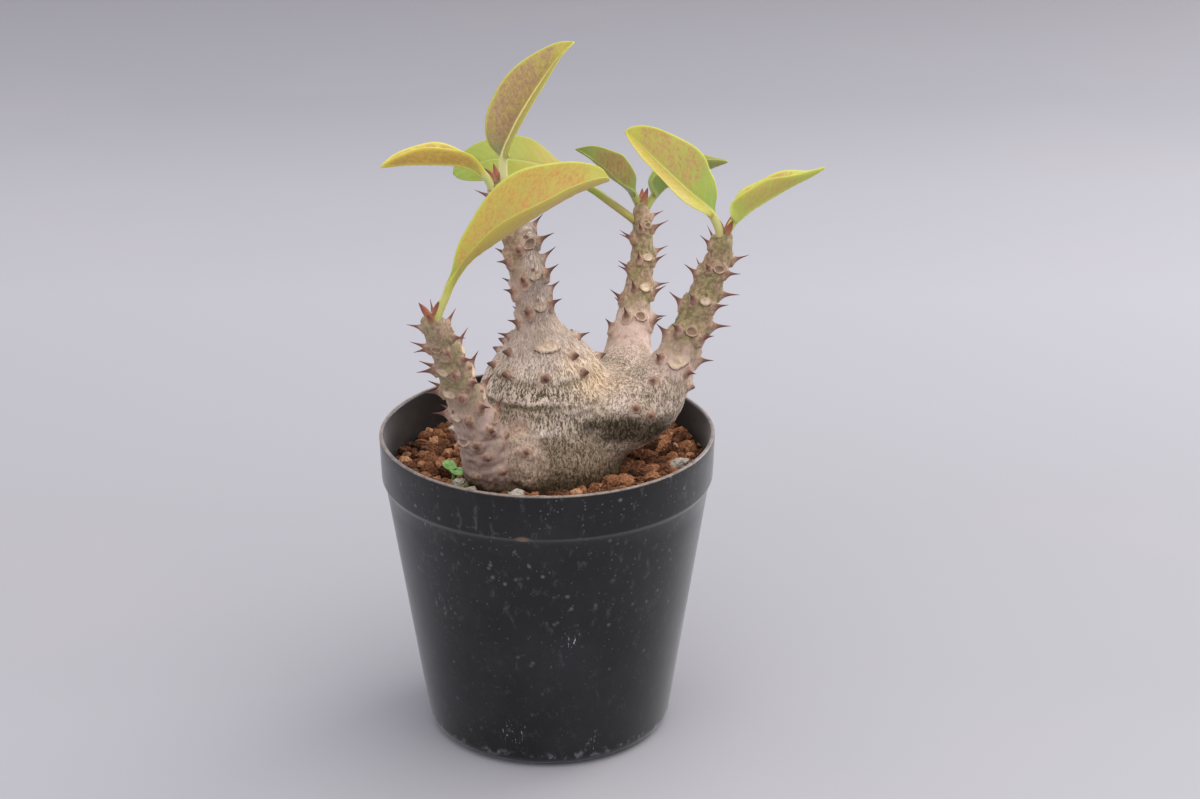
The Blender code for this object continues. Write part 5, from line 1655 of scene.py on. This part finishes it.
def pot_look():
    """Near-black moulded plastic with dust specks, pale scratches and worn edges."""
    look = Look("pot_plastic", 0.30, 0.34, (("Sheen Weight", 0.30), ("Sheen Roughness", 0.35)))
    place = look.place()
    height = look.part(place, 2)
    cloud = look.noise(place, 0.045, 4.0, 0.6)
    colour = look.mix(look.span(cloud, 0.38, 0.68), (18, 18, 20), (31, 31, 34))
    large = dust_specks(look, place, look.warp(place, 0.3, 1.0), 0.30, 0.24, 0, (0.50, 0.75))
    fine = dust_specks(look, place, place, 0.85, 0.30, 1, (0.66, 0.9))
    smear = look.noise(look.stretch(place, (1.0, 1.0, 0.6)), 0.42, 4.0, 0.65)
    smear = look.span(smear, 0.55, 0.75, 0.0, 0.16)
    most = look.math("MAXIMUM", look.math("MAXIMUM", large, fine), smear)
    dust = look.times(most, look.span(height, 15.0, 75.0, 0.35, 1.0))
    colour = look.mix(dust, colour, (150, 152, 158))
    colour = pot_wear(look, pot_marks(look, colour, place), place, height)
    normal = look.bumps((look.noise(place, 0.5, 3.0), 0.04, 0.5), (look.noise(place, 4.0), 0.02, 0.6))
    roughness = look.plus(look.span(cloud, 0.3, 0.7, 0.30, 0.42), look.times(dust, 0.6), clamp=True)
    return look.finish(colour, Roughness=roughness, **normal)


def soil_look():
    """Baked clay grains, orange brown to nearly black, and a few whitish pumice ones, with painted shade in
    small hollows and low between the grains.
    """
    look = Look("soil_clay", 0.95, 0.15)
    place = look.place()
    grain = look.noise(place, 1.3, 5.0, 0.7)
    fine = look.noise(place, 4.0, 3.0, 0.6)
    shaded_pits = look.cells(place, 1.9)
    tone = look.plus(look.number("tone"), look.span(grain, 0.25, 0.75, -0.26, 0.26), clamp=True)
    clay = look.ramp(tone, ((0.0, (32, 22, 17)), (0.25, (78, 50, 35)), (0.5, (136, 90, 62)),
                            (0.75, (188, 132, 94)), (1.0, (220, 176, 136))))
    clay = look.mix(look.span(fine, 0.52, 0.68, 0.0, 0.50), clay, (52, 32, 22))
    clay = look.mix(look.span(fine, 0.42, 0.32, 0.0, 0.30), clay, (208, 150, 104))
    pumice = look.ramp(grain, ((0.25, (136, 122, 100)), (0.5, (206, 196, 180)), (1.0, (236, 230, 220))))
    colour = look.mix(look.number("pale"), clay, pumice)
    # Painted shade in small hollows of the grains
    colour = look.mix(look.span(shaded_pits, 0.30, 0.05, 0.0, 0.5), colour, (34, 20, 14))
    # Painted shade: darker towards the bottom of the soil, between the grains
    colour = look.mix(look.span(look.part(place, 2), 75.0, 73.2, 0.0, 0.55), colour, (34, 22, 15))
    normal = look.bumps((grain, 0.55, 1.0), (look.span(shaded_pits, 0.0, 0.4), 0.15, 0.8), (fine, 0.12, 0.8))
    return look.finish(colour, **normal)


def green_look(name, light, dark):
    """A soft young green."""
    look = Look(name, 0.45, 0.4, (("Subsurface Weight", 0.25), ("Subsurface Radius", (0.8, 1.0, 0.3)),
                                  ("Subsurface Scale", 0.0008)))
    place = look.place()
    cloud = look.span(look.noise(place, 0.8, 3.0, 0.6), 0.35, 0.68)
    return look.finish(look.mix(cloud, light, dark), **look.bumps((look.noise(place, 3.0), 0.05, 0.6)))


# Stage, light and camera
def floor_painted_falloff_look():
    """Pale lilac grey paper, with painted light falloff: darker towards the back."""
    look = Look("pale_floor_painted_falloff", 0.75, 0.25)
    place = look.place()
    depth = look.plus(look.times(look.part(place, 1), 0.001), 0.1, clamp=True)
    # Painted light falloff: the floor's colour darkens with depth
    colour = look.ramp(depth, ((0.0, (170, 169, 173)), (0.12, (163, 162, 166)), (0.24, (163, 162, 166)),
                               (0.44, (169, 168, 173)), (0.58, (163, 162, 167)), (0.72, (150, 149, 154)),
                               (0.92, (143, 141, 145))))
    stain = look.span(look.noise(place, 0.006, 3.0), 0.5, 0.75, 0.0, 0.10)
    return look.finish(look.mix(stain, colour, (182, 172, 166)))


def make_stage(collection):
    """The floor."""
    bm = bmesh.new()
    bmesh.ops.create_grid(bm, x_segments=8, y_segments=8, size=4.0)
    floor = object_from_bmesh("floor", bm, collection)
    for polygon in floor.data.polygons:
        if polygon.normal.z < 0.0:
            polygon.flip()
    floor.location.z = -0.0001
    floor.data.materials.append(floor_painted_falloff_look())


def add_light(name, place, aim, size, power, colour):
    """A soft light that faces a height on the pot's axis."""
    light = bpy.data.lights.new(name, "AREA")
    light.shape = "RECTANGLE"
    light.size, light.size_y = size
    light.energy = power
    light.color = colour
    obj = link_object(name, light, bpy.context.scene.collection)
    obj.location = place
    obj.rotation_euler = (Vector((0.0, 0.0, aim)) - Vector(place)).to_track_quat("-Z", "Y").to_euler()


def add_light_and_camera():
    """A pale room, a soft window light from the right, and the camera of the photograph."""
    scene = bpy.context.scene
    world = bpy.data.worlds.new("pale_room")
    world.use_nodes = True
    background = world.node_tree.nodes["Background"]
    background.inputs["Color"].default_value = rgb(ROOM_COLOUR)
    background.inputs["Strength"].default_value = ROOM_LIGHT
    scene.world = world
    for name, settings in LIGHTS.items():
        add_light(name, *settings)
    camera_data = bpy.data.cameras.new("camera")
    camera_data.lens = LENS
    camera_data.sensor_width = SENSOR
    camera_data.clip_end = 50.0
    camera = link_object("camera", camera_data, scene.collection)
    camera.location = CAMERA_PLACE
    camera.rotation_euler = (CAMERA_PITCH, 0.0, 0.0)
    scene.camera = camera
    scene.view_settings.view_transform = "Standard"
    scene.view_settings.look = "None"


def place_piece(piece, slot, replaced=True):
    """Hide the node a piece stands for, unless it is new, and put the piece on the plant's one body."""
    if replaced:
        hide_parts(slot)
    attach(piece, BODY)


def main():
    """Build every piece, the stage, the light and the camera."""
    looks = new_collection(COLLECTION)
    tools = new_collection("cutters")
    place_piece(make_pot(looks, tools), "pot")
    caudex, plain = make_caudex(looks, tools)
    place_piece(caudex, "caudex")
    for name, leaf in LEAVES.items():
        place_piece(make_leaf(name, leaf, LEAF_LOOKS[name], looks), name)
    for piece in make_soil(looks, plain):
        place_piece(piece, "soil")
    place_piece(make_seedling(looks), "weed_seedling")
    place_piece(make_moss(looks), "weed_seedling", False)
    make_stage(looks)
    add_light_and_camera()
    bpy.data.collections.remove(tools)


main()
